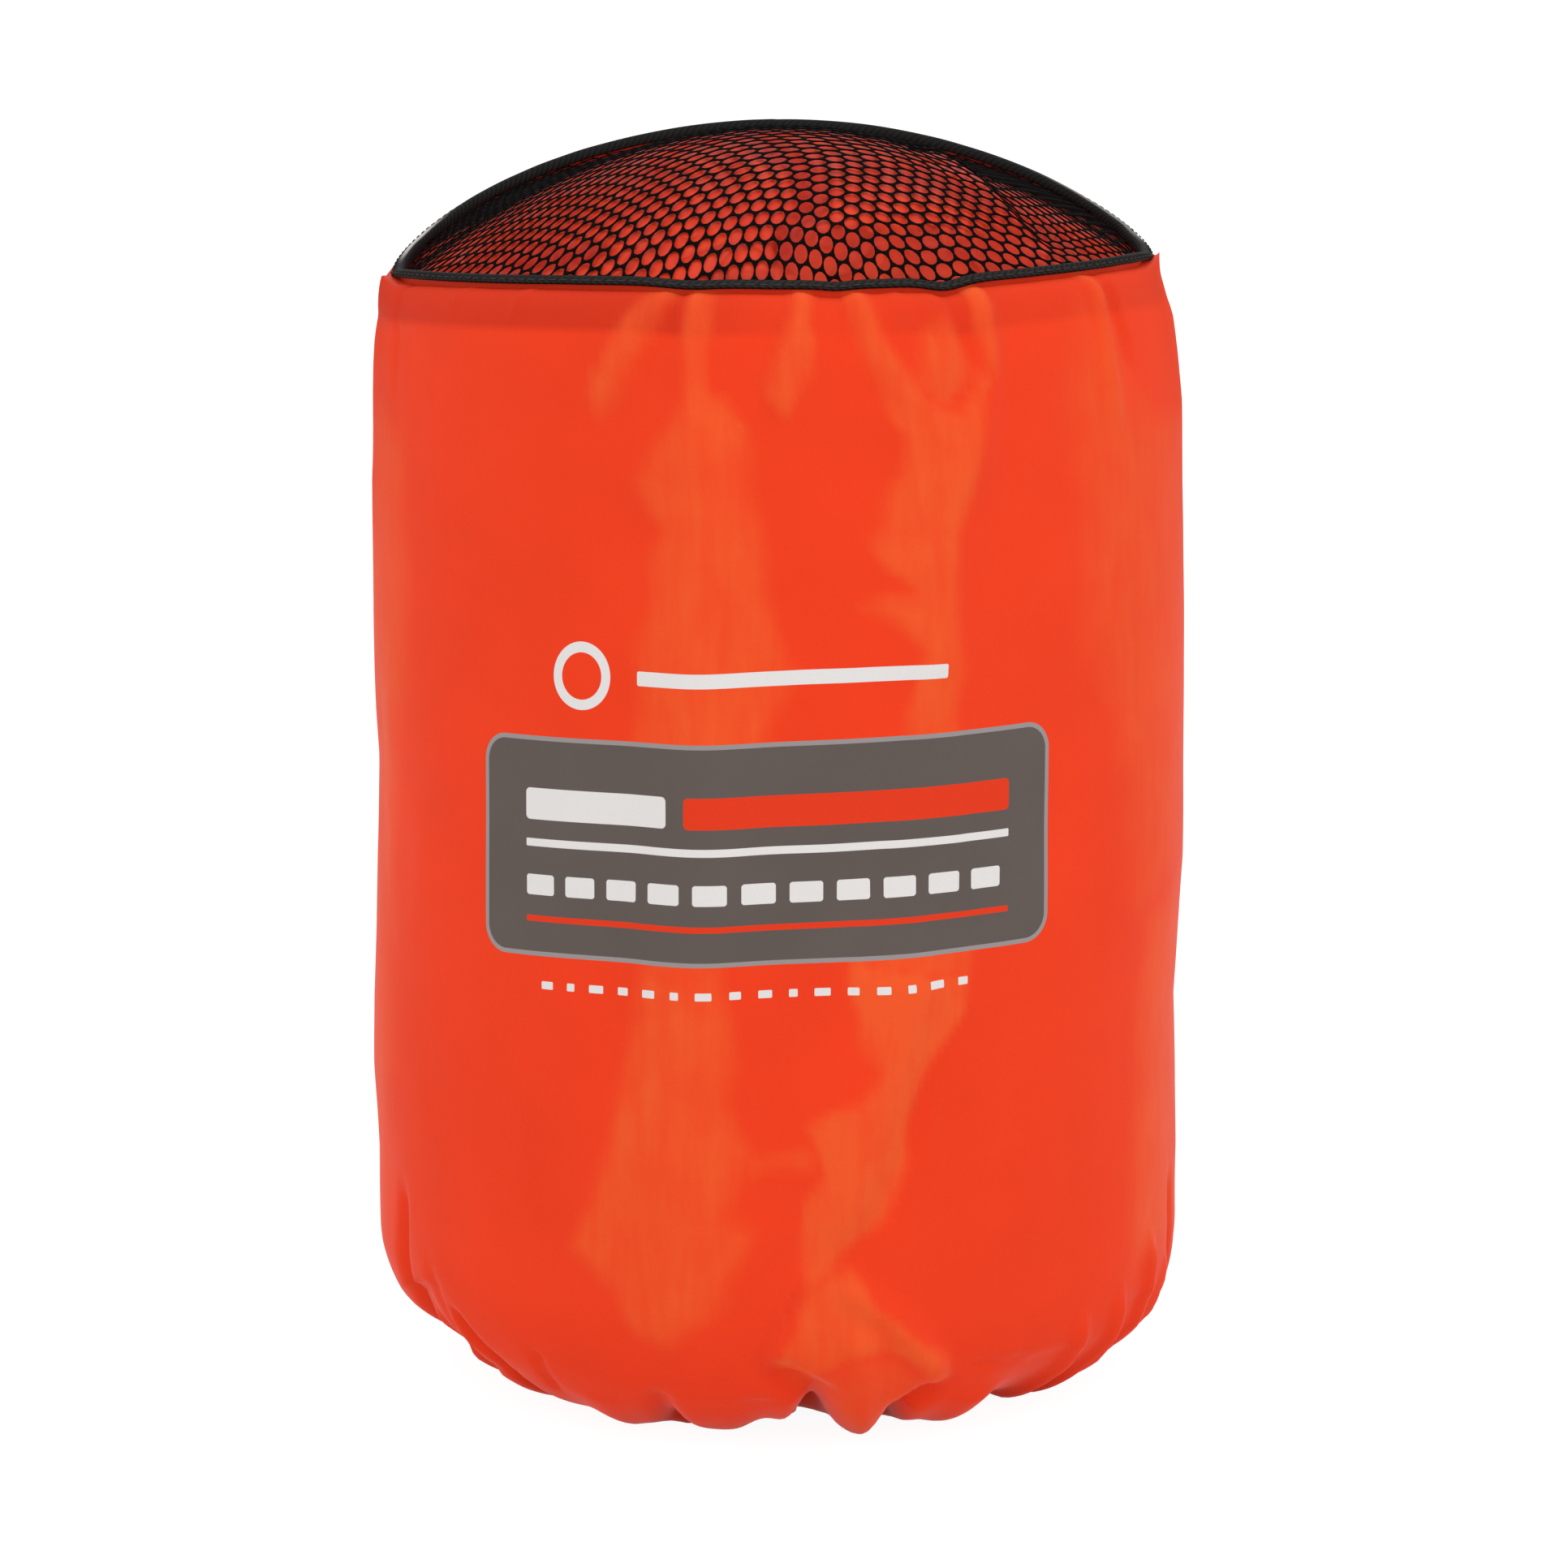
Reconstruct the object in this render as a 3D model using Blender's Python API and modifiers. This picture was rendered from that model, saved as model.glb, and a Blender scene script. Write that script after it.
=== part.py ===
"""A packed bothy bag: a group shelter rolled up inside its round drawstring sack.

The sack stands on its gathered mouth with the net end up, and is pulled up off the shelter.
Metres, +Z up, front facing -Y, origin under the middle of the base.

Round pieces are turned about +Z as if the net end were level. sway() then tips each of them
in the same way, so pieces that lie on each other stay so.
"""

import math

import bmesh
import bpy
from mathutils import Vector

# Fit between pieces
CLEARANCE = 0.00035
SEGMENTS = 48

# Sack: side, shoulder and base
SACK_RADIUS = 0.0678
SIDE_RIM_HEIGHT = 0.1875
RIM_INSET = 0.0052
SHOULDER_DROP = 0.0135
SHOULDER_SQUARENESS = 3.0
LIP_HEIGHT = 0.0014
BASE_CORNER = 0.0255
CLOTH = 0.0008
TURNED_HEM = 0.0006
TURNED_HEM_HEIGHT = 0.0088
SEAM_ALLOWANCE_WIDTH = 0.0090
SEAM_ALLOWANCE = 0.0006

# Net end: how far the shelter pushes it up, and how its rim rises from its low sides
NET = 0.0007
CROWN = 0.0236
CROWN_POWER = 2.0
CROWN_FORWARD = 0.6
RIM_RISE_TO_BACK = 0.0155
RIM_RISE_TO_FRONT = 0.0055
RIM_RISE_TO_RIGHT = 0.0013
SWAY_DEPTH = 0.0700

# Binding tape, folded over the lip
TAPE = 0.0004
TAPE_LEG = 0.0019

# Gathered mouth under the base
MOUTH_RADIUS = 0.0125
MOUTH_LIFT = 0.0016
CORD_RADIUS = 0.00125
DISH_RADIUS = 0.0300
GATHER_AT_EDGE = 0.0012
GATHER_AT_MOUTH = 0.0030
PLEATS = 12
PLEAT_SHARE = 0.35

# Packed shelter: the rolled canopy with its outer wrap
WRAP = 0.0045
ROLL_CORE = 0.0005
CANOPY_STACK = 0.0074
FOLDED_PIECE = 0.0028
THIN_PIECE = 0.0010
ROLL_STEPS_PER_TURN = 32
ROLL_FIRST_STEP = -14
POCKET_FIRST_STEP = -6
ROLL_OVERLAP = 0.0015
ROOF_SHOULDER = 0.0070

# Pieces rolled in with the canopy: folded length along the roll, and height
SEAT_LENGTH = 0.170
SEAT_BELOW_SHOULDER = 0.003
END_PANEL_LENGTH = 0.130
END_PANEL_BELOW_SHOULDER = 0.006
VENT_LENGTH = 0.065
VENT_BELOW_SHOULDER = 0.014
WINDOW_LENGTH = 0.190
WINDOW_BELOW_SHOULDER = 0.009
PATCH_LENGTH = 0.060
PATCH_HEIGHT = 0.060
STRIP_LENGTH = 0.110
STRIP_WIDTH = 0.025
STRIP_THICKNESS = 0.0004
STRIP_FACETS = 3
STRIP_ANGLE = -50.0
PIECE_SPACING = 0.006

# Sizes that follow
RIM_RADIUS = SACK_RADIUS - RIM_INSET
SHOULDER_TOP = SIDE_RIM_HEIGHT - LIP_HEIGHT
SHOULDER_FOOT = SHOULDER_TOP - SHOULDER_DROP
LIP_INNER = RIM_RADIUS - CLOTH
NET_RADIUS = LIP_INNER - CLEARANCE - TAPE - CLEARANCE
NET_RINGS = [NET_RADIUS * ring / 8 for ring in range(9)]
CORNER_CENTRE = SACK_RADIUS - BASE_CORNER
FACET_SAG = SACK_RADIUS * (1 - math.cos(math.pi / SEGMENTS))
HEM_INSET = CLOTH + CLEARANCE
SEAM_INSET = CLOTH + CLEARANCE + FACET_SAG
BUNDLE_INSET = SEAM_INSET + max(SEAM_ALLOWANCE, TURNED_HEM) + CLEARANCE
BUNDLE_RADIUS = SACK_RADIUS - BUNDLE_INSET
WRAP_INNER = BUNDLE_RADIUS - WRAP
ROOF_REACH = WRAP_INNER - ROOF_SHOULDER
CHANNEL_INNER = CORD_RADIUS + CLEARANCE
CHANNEL_OUTER = CHANNEL_INNER + CLOTH
MOUTH_HEIGHT = MOUTH_LIFT + CHANNEL_OUTER
SKIRT_INNER = MOUTH_RADIUS + CHANNEL_OUTER + CLEARANCE
SKIRT_RISE = MOUTH_HEIGHT - GATHER_AT_MOUTH / 2
POCKET = CLEARANCE + FOLDED_PIECE + CLEARANCE + THIN_PIECE + CLEARANCE
ROLL_PITCH = CANOPY_STACK + POCKET


# Helpers

def smooth(share):
    """Goes from 0 to 1 with level ends."""
    share = min(max(share, 0.0), 1.0)
    return share * share * (3 - 2 * share)


def crown(radius):
    """How far the net stands above its own edge."""
    return CROWN * (1 - (min(radius, NET_RADIUS) / NET_RADIUS) ** CROWN_POWER)


def rim_rise(along):
    """How far the rim stands above its sides, from -1 at the front to 1 at the back."""
    if along < 0:
        return RIM_RISE_TO_FRONT * (1 - (1 - min(-along, 1.0)) ** 1.8)
    return RIM_RISE_TO_BACK * (0.23 * along + 0.77 * along ** 2)


def saddle(along):
    """The same rise without its kink at the sides, as it is across the middle of the net."""
    tilt = (RIM_RISE_TO_BACK - RIM_RISE_TO_FRONT) / 2
    curve = (RIM_RISE_TO_BACK + RIM_RISE_TO_FRONT) / 2
    return tilt * along + curve * along ** 2


def sway(point):
    """Tips a turned piece: the rim is high at the back and low at the sides, and the crown leans forward."""
    across, along = point.x / RIM_RADIUS, point.y / RIM_RADIUS
    radius = math.hypot(point.x, point.y)
    at_rim = min(radius / NET_RADIUS, 1.0) ** 6
    rise = saddle(along) + at_rim * (rim_rise(along) - saddle(along))
    rise += RIM_RISE_TO_RIGHT * across - CROWN_FORWARD * along * crown(radius)
    share = smooth((point.z - SIDE_RIM_HEIGHT + SWAY_DEPTH) / SWAY_DEPTH)
    return Vector((point.x, point.y, point.z + share * rise))


def material(name, colour, roughness, alpha=1.0):
    """A Principled material in the piece's own colour."""
    made = bpy.data.materials.new(name)
    made.use_nodes = True
    shader = made.node_tree.nodes["Principled BSDF"]
    shader.inputs["Base Color"].default_value = (*colour, 1.0)
    shader.inputs["Roughness"].default_value = roughness
    shader.inputs["Metallic"].default_value = 0.0
    shader.inputs["Alpha"].default_value = alpha
    made.diffuse_color = (*colour, alpha)
    return made


def place(name, mesh, finish, collection, parent=None):
    """Puts a mesh into the scene as a named piece, shaded smooth."""
    mesh.name = name
    mesh.materials.clear()
    mesh.materials.append(finish)
    mesh.shade_smooth()
    mesh.set_sharp_from_angle(angle=math.radians(40))
    piece = bpy.data.objects.new(name, mesh)
    collection.objects.link(piece)
    piece.parent = parent
    return piece


def tipped(mesh, bend=sway):
    """Applies a bend to every point of a mesh and turns its faces outwards."""
    shape = bmesh.new()
    shape.from_mesh(mesh)
    for vert in shape.verts:
        vert.co = bend(vert.co)
    bmesh.ops.recalc_face_normals(shape, faces=shape.faces)
    shape.to_mesh(mesh)
    shape.free()
    return mesh


def turned(name, outline, closed=True, segments=SEGMENTS, bend=sway):
    """Turns an outline of (radius, height) points about +Z."""
    points = [(radius, 0.0, height) for radius, height in outline]
    edges = [(i, i + 1) for i in range(len(points) - 1)]
    if closed:
        edges.append((len(points) - 1, 0))
    profile = bpy.data.meshes.new(name + "_profile")
    profile.from_pydata(points, edges, [])
    guide = bpy.data.objects.new(name + "_profile", profile)
    bpy.context.scene.collection.objects.link(guide)
    screw = guide.modifiers.new("Turn", "SCREW")
    screw.axis = "Z"
    screw.steps = segments
    screw.render_steps = segments
    screw.use_merge_vertices = True
    screw.merge_threshold = 0.00002
    seen = guide.evaluated_get(bpy.context.evaluated_depsgraph_get())
    mesh = bpy.data.meshes.new_from_object(seen)
    bpy.data.objects.remove(guide)
    bpy.data.meshes.remove(profile)
    return tipped(mesh, bend)


def lofted(name, sections, bend=sway):
    """Joins a run of four-cornered sections into one closed body."""
    shape = bmesh.new()
    loops = [[shape.verts.new(corner) for corner in section] for section in sections]
    for before, after in zip(loops, loops[1:]):
        for i in range(4):
            j = (i + 1) % 4
            shape.faces.new((before[i], before[j], after[j], after[i]))
    shape.faces.new(loops[0])
    shape.faces.new(reversed(loops[-1]))
    mesh = bpy.data.meshes.new(name)
    shape.to_mesh(mesh)
    shape.free()
    return tipped(mesh, bend)


def on_ring(angle, radius, height):
    """A point at an angle about +Z, from +X towards +Y."""
    return Vector((radius * math.cos(angle), radius * math.sin(angle), height))


# Outlines that nested pieces share

def side_radius(inset, height):
    """Radius of the sack's side at a height, inset from its outer face."""
    wide = SACK_RADIUS - inset
    drop = SHOULDER_DROP - inset
    share = min(max((height - SHOULDER_FOOT) / drop, 0.0), 1.0)
    narrow = (1 - share ** SHOULDER_SQUARENESS) ** (1 / SHOULDER_SQUARENESS)
    return RIM_RADIUS + (wide - RIM_RADIUS) * narrow


def side_outline(inset, low, steps=6):
    """The sack's side from the top of its shoulder down to a height, inset from its outer face."""
    wide = SACK_RADIUS - inset
    drop = SHOULDER_DROP - inset
    points = []
    for step in range(steps + 1):
        angle = math.pi / 2 * (1 - step / steps)
        out = max(math.cos(angle), 0.0) ** (2 / SHOULDER_SQUARENESS)
        up = math.sin(angle) ** (2 / SHOULDER_SQUARENESS)
        height = SHOULDER_FOOT + drop * up
        if height > low + CLEARANCE:
            points.append((RIM_RADIUS + (wide - RIM_RADIUS) * out, height))
    points.append((side_radius(inset, low), low))
    return points


def corner_outline(side_inset, base_inset, steps=4):
    """The rounded corner of the base, inset from its outer face, from the side to the underside."""
    points = []
    for step in range(steps + 1):
        share = step / steps
        radius = BASE_CORNER - side_inset - (base_inset - side_inset) * share
        angle = math.pi / 2 * share
        points.append((CORNER_CENTRE + radius * math.cos(angle), BASE_CORNER - radius * math.sin(angle)))
    return points


def dome_outline(depth, radii):
    """The net end's curve through some radii, some depth below its top face."""
    return [(radius, SIDE_RIM_HEIGHT + crown(radius) - depth) for radius in radii]


def skirt_height(radius):
    """Underside of the gathered base, which rises towards the mouth."""
    return SKIRT_RISE * smooth((DISH_RADIUS - radius) / (DISH_RADIUS - SKIRT_INNER))


def skirt_thickness(radius):
    """The gathers pile up towards the mouth."""
    share = smooth((CORNER_CENTRE - radius) / (CORNER_CENTRE - SKIRT_INNER))
    return GATHER_AT_EDGE + (GATHER_AT_MOUTH - GATHER_AT_EDGE) * share


def floor_height(radius):
    """Underside of the packed shelter, just clear of the gathers and the mouth."""
    gathers = skirt_height(radius) * (1 + PLEAT_SHARE) + skirt_thickness(radius) + CLEARANCE
    if radius > SKIRT_INNER:
        return gathers
    return max(gathers, MOUTH_HEIGHT + CHANNEL_OUTER + CLEARANCE)


# Sack

def sack_tube():
    """The side: one cloth that curves in at the shoulder, with its top edge turned down inside."""
    notch = RIM_RADIUS + (SACK_RADIUS - RIM_RADIUS) * 0.3
    hem_foot = SIDE_RIM_HEIGHT - TURNED_HEM_HEIGHT
    bottom = BASE_CORNER + CLEARANCE
    outer = side_outline(0.0, bottom)
    inner = [p for p in side_outline(CLOTH, bottom) if p[0] > notch]
    hem_outer = [p for p in side_outline(HEM_INSET, hem_foot) if p[0] > notch]
    hem_inner = side_outline(HEM_INSET + TURNED_HEM, hem_foot)
    lip = [(LIP_INNER, SHOULDER_TOP - CLOTH), (LIP_INNER, SIDE_RIM_HEIGHT), (RIM_RADIUS, SIDE_RIM_HEIGHT)]
    return turned("sack_tube", outer + inner[::-1] + hem_outer + hem_inner[::-1] + lip)


def mesh_end():
    """The round net end, a thin dome."""
    top = dome_outline(0.0, NET_RINGS)
    under = dome_outline(NET, NET_RINGS)
    return turned("mesh_end", top + under[::-1], closed=False)


def rim_binding():
    """Tape folded down over the lip, one leg outside the cloth and one between it and the net."""
    outside = RIM_RADIUS + CLEARANCE
    inside = LIP_INNER - CLEARANCE
    under = SIDE_RIM_HEIGHT + CLEARANCE
    foot = under + TAPE - TAPE_LEG
    outline = [
        (outside + TAPE, under + TAPE), (outside + TAPE, foot), (outside, foot), (outside, under),
        (inside, under), (inside, foot), (inside - TAPE, foot), (inside - TAPE, under + TAPE),
    ]
    return turned("rim_binding", outline)


def back_seam():
    """The allowance of the seam that closes the tube, flat against its inside at the back."""
    outside = SACK_RADIUS - SEAM_INSET
    inside = outside - SEAM_ALLOWANCE
    half = SEAM_ALLOWANCE_WIDTH / 2 / SACK_RADIUS
    low, high = BASE_CORNER + CLEARANCE, SHOULDER_FOOT
    sections = []
    for angle in (math.pi / 2 - half, math.pi / 2, math.pi / 2 + half):
        sections.append([on_ring(angle, inside, low), on_ring(angle, outside, low),
                         on_ring(angle, outside, high), on_ring(angle, inside, high)])
    return lofted("back_seam", sections)


def pleat(point):
    """Ripples the gathered base, more and more towards the mouth."""
    radius = math.hypot(point.x, point.y)
    ripple = PLEAT_SHARE * skirt_height(radius) * math.cos(PLEATS * math.atan2(point.y, point.x))
    return Vector((point.x, point.y, point.z + ripple))


def mouth_gathers():
    """The cloth below the side: round the corner, flat on the ground, then up in pleats to the mouth."""
    outer = corner_outline(0.0, 0.0)
    inner = corner_outline(CLOTH, GATHER_AT_EDGE)
    steps = 5
    flat = [DISH_RADIUS + (SKIRT_INNER - DISH_RADIUS) * i / steps for i in range(steps + 1)]
    under = [(radius, skirt_height(radius)) for radius in flat]
    over = [(radius, skirt_height(radius) + skirt_thickness(radius)) for radius in flat]
    return turned("mouth_gathers", outer + under + over[::-1] + inner[::-1], bend=pleat)


def hem_channel():
    """The hem at the mouth, folded round the cord and open towards the gathers."""
    opening = math.radians(25)
    steps = 9
    arc = [-opening - (2 * math.pi - 2 * opening) * i / steps for i in range(steps + 1)]
    outline = [(MOUTH_RADIUS + CHANNEL_OUTER * math.cos(a), MOUTH_HEIGHT + CHANNEL_OUTER * math.sin(a))
               for a in arc]
    outline += [(MOUTH_RADIUS + CHANNEL_INNER * math.cos(a), MOUTH_HEIGHT + CHANNEL_INNER * math.sin(a))
                for a in arc[::-1]]
    return turned("hem_channel", outline, segments=SEGMENTS // 2)


def drawcord():
    """The cord, all the way round inside its channel."""
    sides = 8
    outline = [(MOUTH_RADIUS + CORD_RADIUS * math.cos(-2 * math.pi * i / sides),
                MOUTH_HEIGHT + CORD_RADIUS * math.sin(-2 * math.pi * i / sides)) for i in range(sides)]
    return turned("drawcord", outline, segments=SEGMENTS // 2)


# Packed shelter

def bundle_depth():
    """Depth of the shelter's top below the net's top face."""
    return NET + CLEARANCE


def roof_height(radius):
    """Underside of the canopy where it is folded over the top of the roll."""
    return SIDE_RIM_HEIGHT + crown(radius) - bundle_depth() - WRAP


def canopy_wrap():
    """The canopy's outer wrap: round the roll, in under its foot and over its top."""
    base_inset = GATHER_AT_EDGE + CLEARANCE
    outer = dome_outline(bundle_depth(), NET_RINGS[:-1])
    outer += side_outline(BUNDLE_INSET, BASE_CORNER + CLEARANCE)
    outer += corner_outline(BUNDLE_INSET, base_inset)
    inner = corner_outline(BUNDLE_INSET + WRAP, base_inset + WRAP)[::-1]
    inner.append((WRAP_INNER, SHOULDER_FOOT))
    roof = dome_outline(bundle_depth() + WRAP, [radius for radius in NET_RINGS if radius < ROOF_REACH])
    return turned("canopy", outer + inner + roof[::-1], closed=False)


def roll_radius(turn):
    """Inner radius of the rolled canopy after some turns. Before turn 0 it is the spiral's tight core."""
    return ROLL_CORE + ROLL_PITCH * turn


def roll_top(radius):
    """Top of the rolled canopy, which runs a little way up into its wrap."""
    return roof_height(min(radius, ROOF_REACH)) + ROLL_OVERLAP - max(radius - ROOF_REACH, 0.0)


def roll_foot(radius):
    """Foot of the rolled canopy: just above the gathers, and further out in the thick of the wrap's corner."""
    outside = radius - CORNER_CENTRE
    if outside <= 0:
        return floor_height(radius) + ROLL_OVERLAP
    corner = BASE_CORNER - (BUNDLE_INSET + GATHER_AT_EDGE + CLEARANCE + WRAP) / 2
    return BASE_CORNER - math.sqrt(corner ** 2 - outside ** 2)


def canopy_roll():
    """The rolled part of the canopy: a flat spiral whose last step turns out into the wrap."""
    clear_of_wrap = WRAP_INNER - FACET_SAG - CLEARANCE - CANOPY_STACK - ROLL_CORE
    last = int(clear_of_wrap / ROLL_PITCH * ROLL_STEPS_PER_TURN) + 1
    sections = []
    for step in range(ROLL_FIRST_STEP, last + 1):
        turn = step / ROLL_STEPS_PER_TURN
        angle = 2 * math.pi * turn
        outside = WRAP_INNER + ROLL_OVERLAP if step == last else roll_radius(turn) + CANOPY_STACK
        inside = max(outside - CANOPY_STACK, ROLL_CORE)
        sections.append([on_ring(angle, inside, roll_foot(inside)), on_ring(angle, outside, roll_foot(outside)),
                         on_ring(angle, outside, roll_top(outside)), on_ring(angle, inside, roll_top(inside))])
    return lofted("canopy_roll", sections)


def pocket_run(step, offset):
    """Length along the pocket from the core to a roll step."""
    turn = step / ROLL_STEPS_PER_TURN
    start = ROLL_CORE + CANOPY_STACK + offset
    return 2 * math.pi * turn * (start + ROLL_PITCH * turn / 2)


def pocket_end(thickness, offset):
    """The last roll step at which a piece this thick is clear of the wrap."""
    outside = CANOPY_STACK + CLEARANCE + offset + thickness + CLEARANCE + FACET_SAG
    return int((WRAP_INNER - outside - ROLL_CORE) / ROLL_PITCH * ROLL_STEPS_PER_TURN)


def rolled_in(name, first_step, count, offset, thickness, height):
    """A piece that lies in the pocket outside the canopy's turn, some offset from it."""
    low = BASE_CORNER + CLEARANCE
    sections = []
    for step in range(first_step, first_step + count + 1):
        turn = step / ROLL_STEPS_PER_TURN
        angle = 2 * math.pi * turn
        inside = roll_radius(turn) + CANOPY_STACK + CLEARANCE + offset
        outside = inside + thickness
        sections.append([on_ring(angle, inside, low), on_ring(angle, outside, low),
                         on_ring(angle, outside, low + height), on_ring(angle, inside, low + height)])
    return lofted(name, sections)


def laid_along_roll(pieces, thickness, offset):
    """Folds pieces, each (name, length, height), to fill the pocket one after another."""
    first, last = POCKET_FIRST_STEP, pocket_end(thickness, offset)
    start = pocket_run(first, offset)
    room = pocket_run(last, offset) - start - PIECE_SPACING * (len(pieces) - 1)
    fit = room / sum(length for _, length, _ in pieces)
    laid = {}
    for name, length, height in pieces:
        end = start + length * fit
        steps = [step for step in range(first, last + 1)
                 if start <= pocket_run(step, offset) <= end + PIECE_SPACING / 10]
        laid[name] = rolled_in(name, steps[0], steps[-1] - steps[0], offset, thickness, height)
        start = end + PIECE_SPACING
    return laid


def outer_strip():
    """The reflective strip on the shelter's outside, upright."""
    facet = 2 * math.pi / SEGMENTS
    inside = BUNDLE_RADIUS + CLEARANCE
    outside = inside + STRIP_THICKNESS
    middle = (BASE_CORNER + SHOULDER_FOOT) / 2
    low, high = middle - STRIP_LENGTH / 2, middle + STRIP_LENGTH / 2
    first = round(math.radians(STRIP_ANGLE) / facet)
    sections = []
    for step in range(first, first + STRIP_FACETS + 1):
        angle = step * facet
        sections.append([on_ring(angle, inside, low), on_ring(angle, outside, low),
                         on_ring(angle, outside, high), on_ring(angle, inside, high)])
    return lofted("reflective_strip_left", sections)


def main():
    for old in list(bpy.data.objects):
        bpy.data.objects.remove(old, do_unlink=True)
    scene = bpy.context.scene
    parts = bpy.data.collections.new("Bothy bag")
    guides = bpy.data.collections.new("Guides")
    scene.collection.children.link(parts)
    scene.collection.children.link(guides)

    sack_cloth = material("sack_cloth", (0.86, 0.055, 0.015), 0.55)
    net = material("net", (0.01, 0.01, 0.012), 0.6)
    tape = material("tape", (0.015, 0.015, 0.015), 0.7)
    cord = material("cord", (0.02, 0.02, 0.02), 0.7)
    canopy_cloth = material("canopy_cloth", (0.80, 0.045, 0.015), 0.55)
    seat_cloth = material("seat_cloth", (0.03, 0.03, 0.035), 0.6)
    window_film = material("window_film", (0.85, 0.90, 0.92), 0.1, alpha=0.4)
    reflective = material("reflective", (0.62, 0.63, 0.64), 0.35)

    sack_lift = bpy.data.objects.new("sack_lift", None)
    sack_lift.empty_display_type = "SINGLE_ARROW"
    sack_lift.empty_display_size = 0.05
    guides.objects.link(sack_lift)

    place("sack_tube", sack_tube(), sack_cloth, parts, sack_lift)
    place("mesh_end", mesh_end(), net, parts, sack_lift)
    place("rim_binding", rim_binding(), tape, parts, sack_lift)
    place("back_seam", back_seam(), sack_cloth, parts, sack_lift)
    place("mouth_gathers", mouth_gathers(), sack_cloth, parts, sack_lift)
    place("hem_channel", hem_channel(), sack_cloth, parts, sack_lift)
    place("drawcord", drawcord(), cord, parts, sack_lift)

    canopy = place("canopy", canopy_wrap(), canopy_cloth, parts)
    roll = place("canopy_roll", canopy_roll(), canopy_cloth, guides)
    roll.hide_render = True
    roll.display_type = "WIRE"
    joined = canopy.modifiers.new("Rolled inside", "BOOLEAN")
    joined.operation = "UNION"
    joined.solver = "EXACT"
    joined.object = roll

    full_height = SHOULDER_FOOT - BASE_CORNER
    folded = [
        ("vent_sleeve_left", VENT_LENGTH, full_height - VENT_BELOW_SHOULDER, canopy_cloth),
        ("vent_sleeve_right", VENT_LENGTH, full_height - VENT_BELOW_SHOULDER, canopy_cloth),
        ("end_panel_left", END_PANEL_LENGTH, full_height - END_PANEL_BELOW_SHOULDER, canopy_cloth),
        ("end_panel_right", END_PANEL_LENGTH, full_height - END_PANEL_BELOW_SHOULDER, canopy_cloth),
        ("seat_panel_left", SEAT_LENGTH, full_height - SEAT_BELOW_SHOULDER, seat_cloth),
        ("seat_panel_right", SEAT_LENGTH, full_height - SEAT_BELOW_SHOULDER, seat_cloth),
    ]
    thin = [
        ("pole_patch_left", PATCH_LENGTH, PATCH_HEIGHT, seat_cloth),
        ("pole_patch_right", PATCH_LENGTH, PATCH_HEIGHT, seat_cloth),
        ("reflective_strip_right", STRIP_LENGTH, STRIP_WIDTH, reflective),
        ("window_left", WINDOW_LENGTH, full_height - WINDOW_BELOW_SHOULDER, window_film),
        ("window_right", WINDOW_LENGTH, full_height - WINDOW_BELOW_SHOULDER, window_film),
    ]
    thin_offset = FOLDED_PIECE + CLEARANCE
    for pieces, thickness, offset in ((folded, FOLDED_PIECE, 0.0), (thin, THIN_PIECE, thin_offset)):
        meshes = laid_along_roll([piece[:3] for piece in pieces], thickness, offset)
        for name, _, _, finish in pieces:
            place(name, meshes[name], finish, parts)
    place("reflective_strip_left", outer_strip(), reflective, parts)


main()
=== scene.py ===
# %% [markdown]
# # A packed bothy bag
# The object is a group shelter rolled up inside a round drawstring sack. The sack stands on its
# gathered mouth. Its other end is a round black net, which lets the damp shelter air.
# The frame gives every place and size. This lesson only dresses it: cloth with folds, a real net,
# ribbed tape, stitches, and the rolled shelter that shows when the sack is pulled up.

# %% Load the frame
import math
from collections import namedtuple

import bmesh
import bpy
import numpy as np
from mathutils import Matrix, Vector
from mathutils.bvhtree import BVHTree


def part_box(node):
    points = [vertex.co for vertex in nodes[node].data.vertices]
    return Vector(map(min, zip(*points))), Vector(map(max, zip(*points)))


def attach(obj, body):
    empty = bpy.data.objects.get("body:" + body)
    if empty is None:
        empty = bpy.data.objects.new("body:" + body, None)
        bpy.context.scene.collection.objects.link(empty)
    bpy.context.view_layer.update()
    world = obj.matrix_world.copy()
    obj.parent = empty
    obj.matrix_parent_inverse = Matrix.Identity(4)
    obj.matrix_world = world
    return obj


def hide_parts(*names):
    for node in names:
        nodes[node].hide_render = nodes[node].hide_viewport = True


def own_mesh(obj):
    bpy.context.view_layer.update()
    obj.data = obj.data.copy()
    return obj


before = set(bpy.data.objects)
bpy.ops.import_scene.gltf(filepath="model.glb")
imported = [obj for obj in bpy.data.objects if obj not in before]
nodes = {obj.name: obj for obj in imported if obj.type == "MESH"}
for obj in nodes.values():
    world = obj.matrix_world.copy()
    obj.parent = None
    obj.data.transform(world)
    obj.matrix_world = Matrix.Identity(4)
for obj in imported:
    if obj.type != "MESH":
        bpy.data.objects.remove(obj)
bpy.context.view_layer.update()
MM = 0.001

# %% [markdown]
# ## Sizes from the frame
# Each size is read from the solid that it belongs to, so the looks follow the frame.
# Directions round the sack are angles from the front, positive to the right.

# %% Sizes from the frame
def new_object(name, data):
    """A new object in the scene."""
    made = bpy.data.objects.new(name, data)
    bpy.context.scene.collection.objects.link(made)
    return made


def corners(mesh):
    """A mesh's corners as an array."""
    points = np.empty(3 * len(mesh.vertices), dtype=np.float32)
    mesh.vertices.foreach_get("co", points)
    return points.reshape(-1, 3).astype(float)


def polar_of(points):
    """Radius, angle from the front, and height of points."""
    x, y, height = np.moveaxis(points, -1, 0)
    return np.hypot(x, y), np.arctan2(x, -y), height


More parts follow.
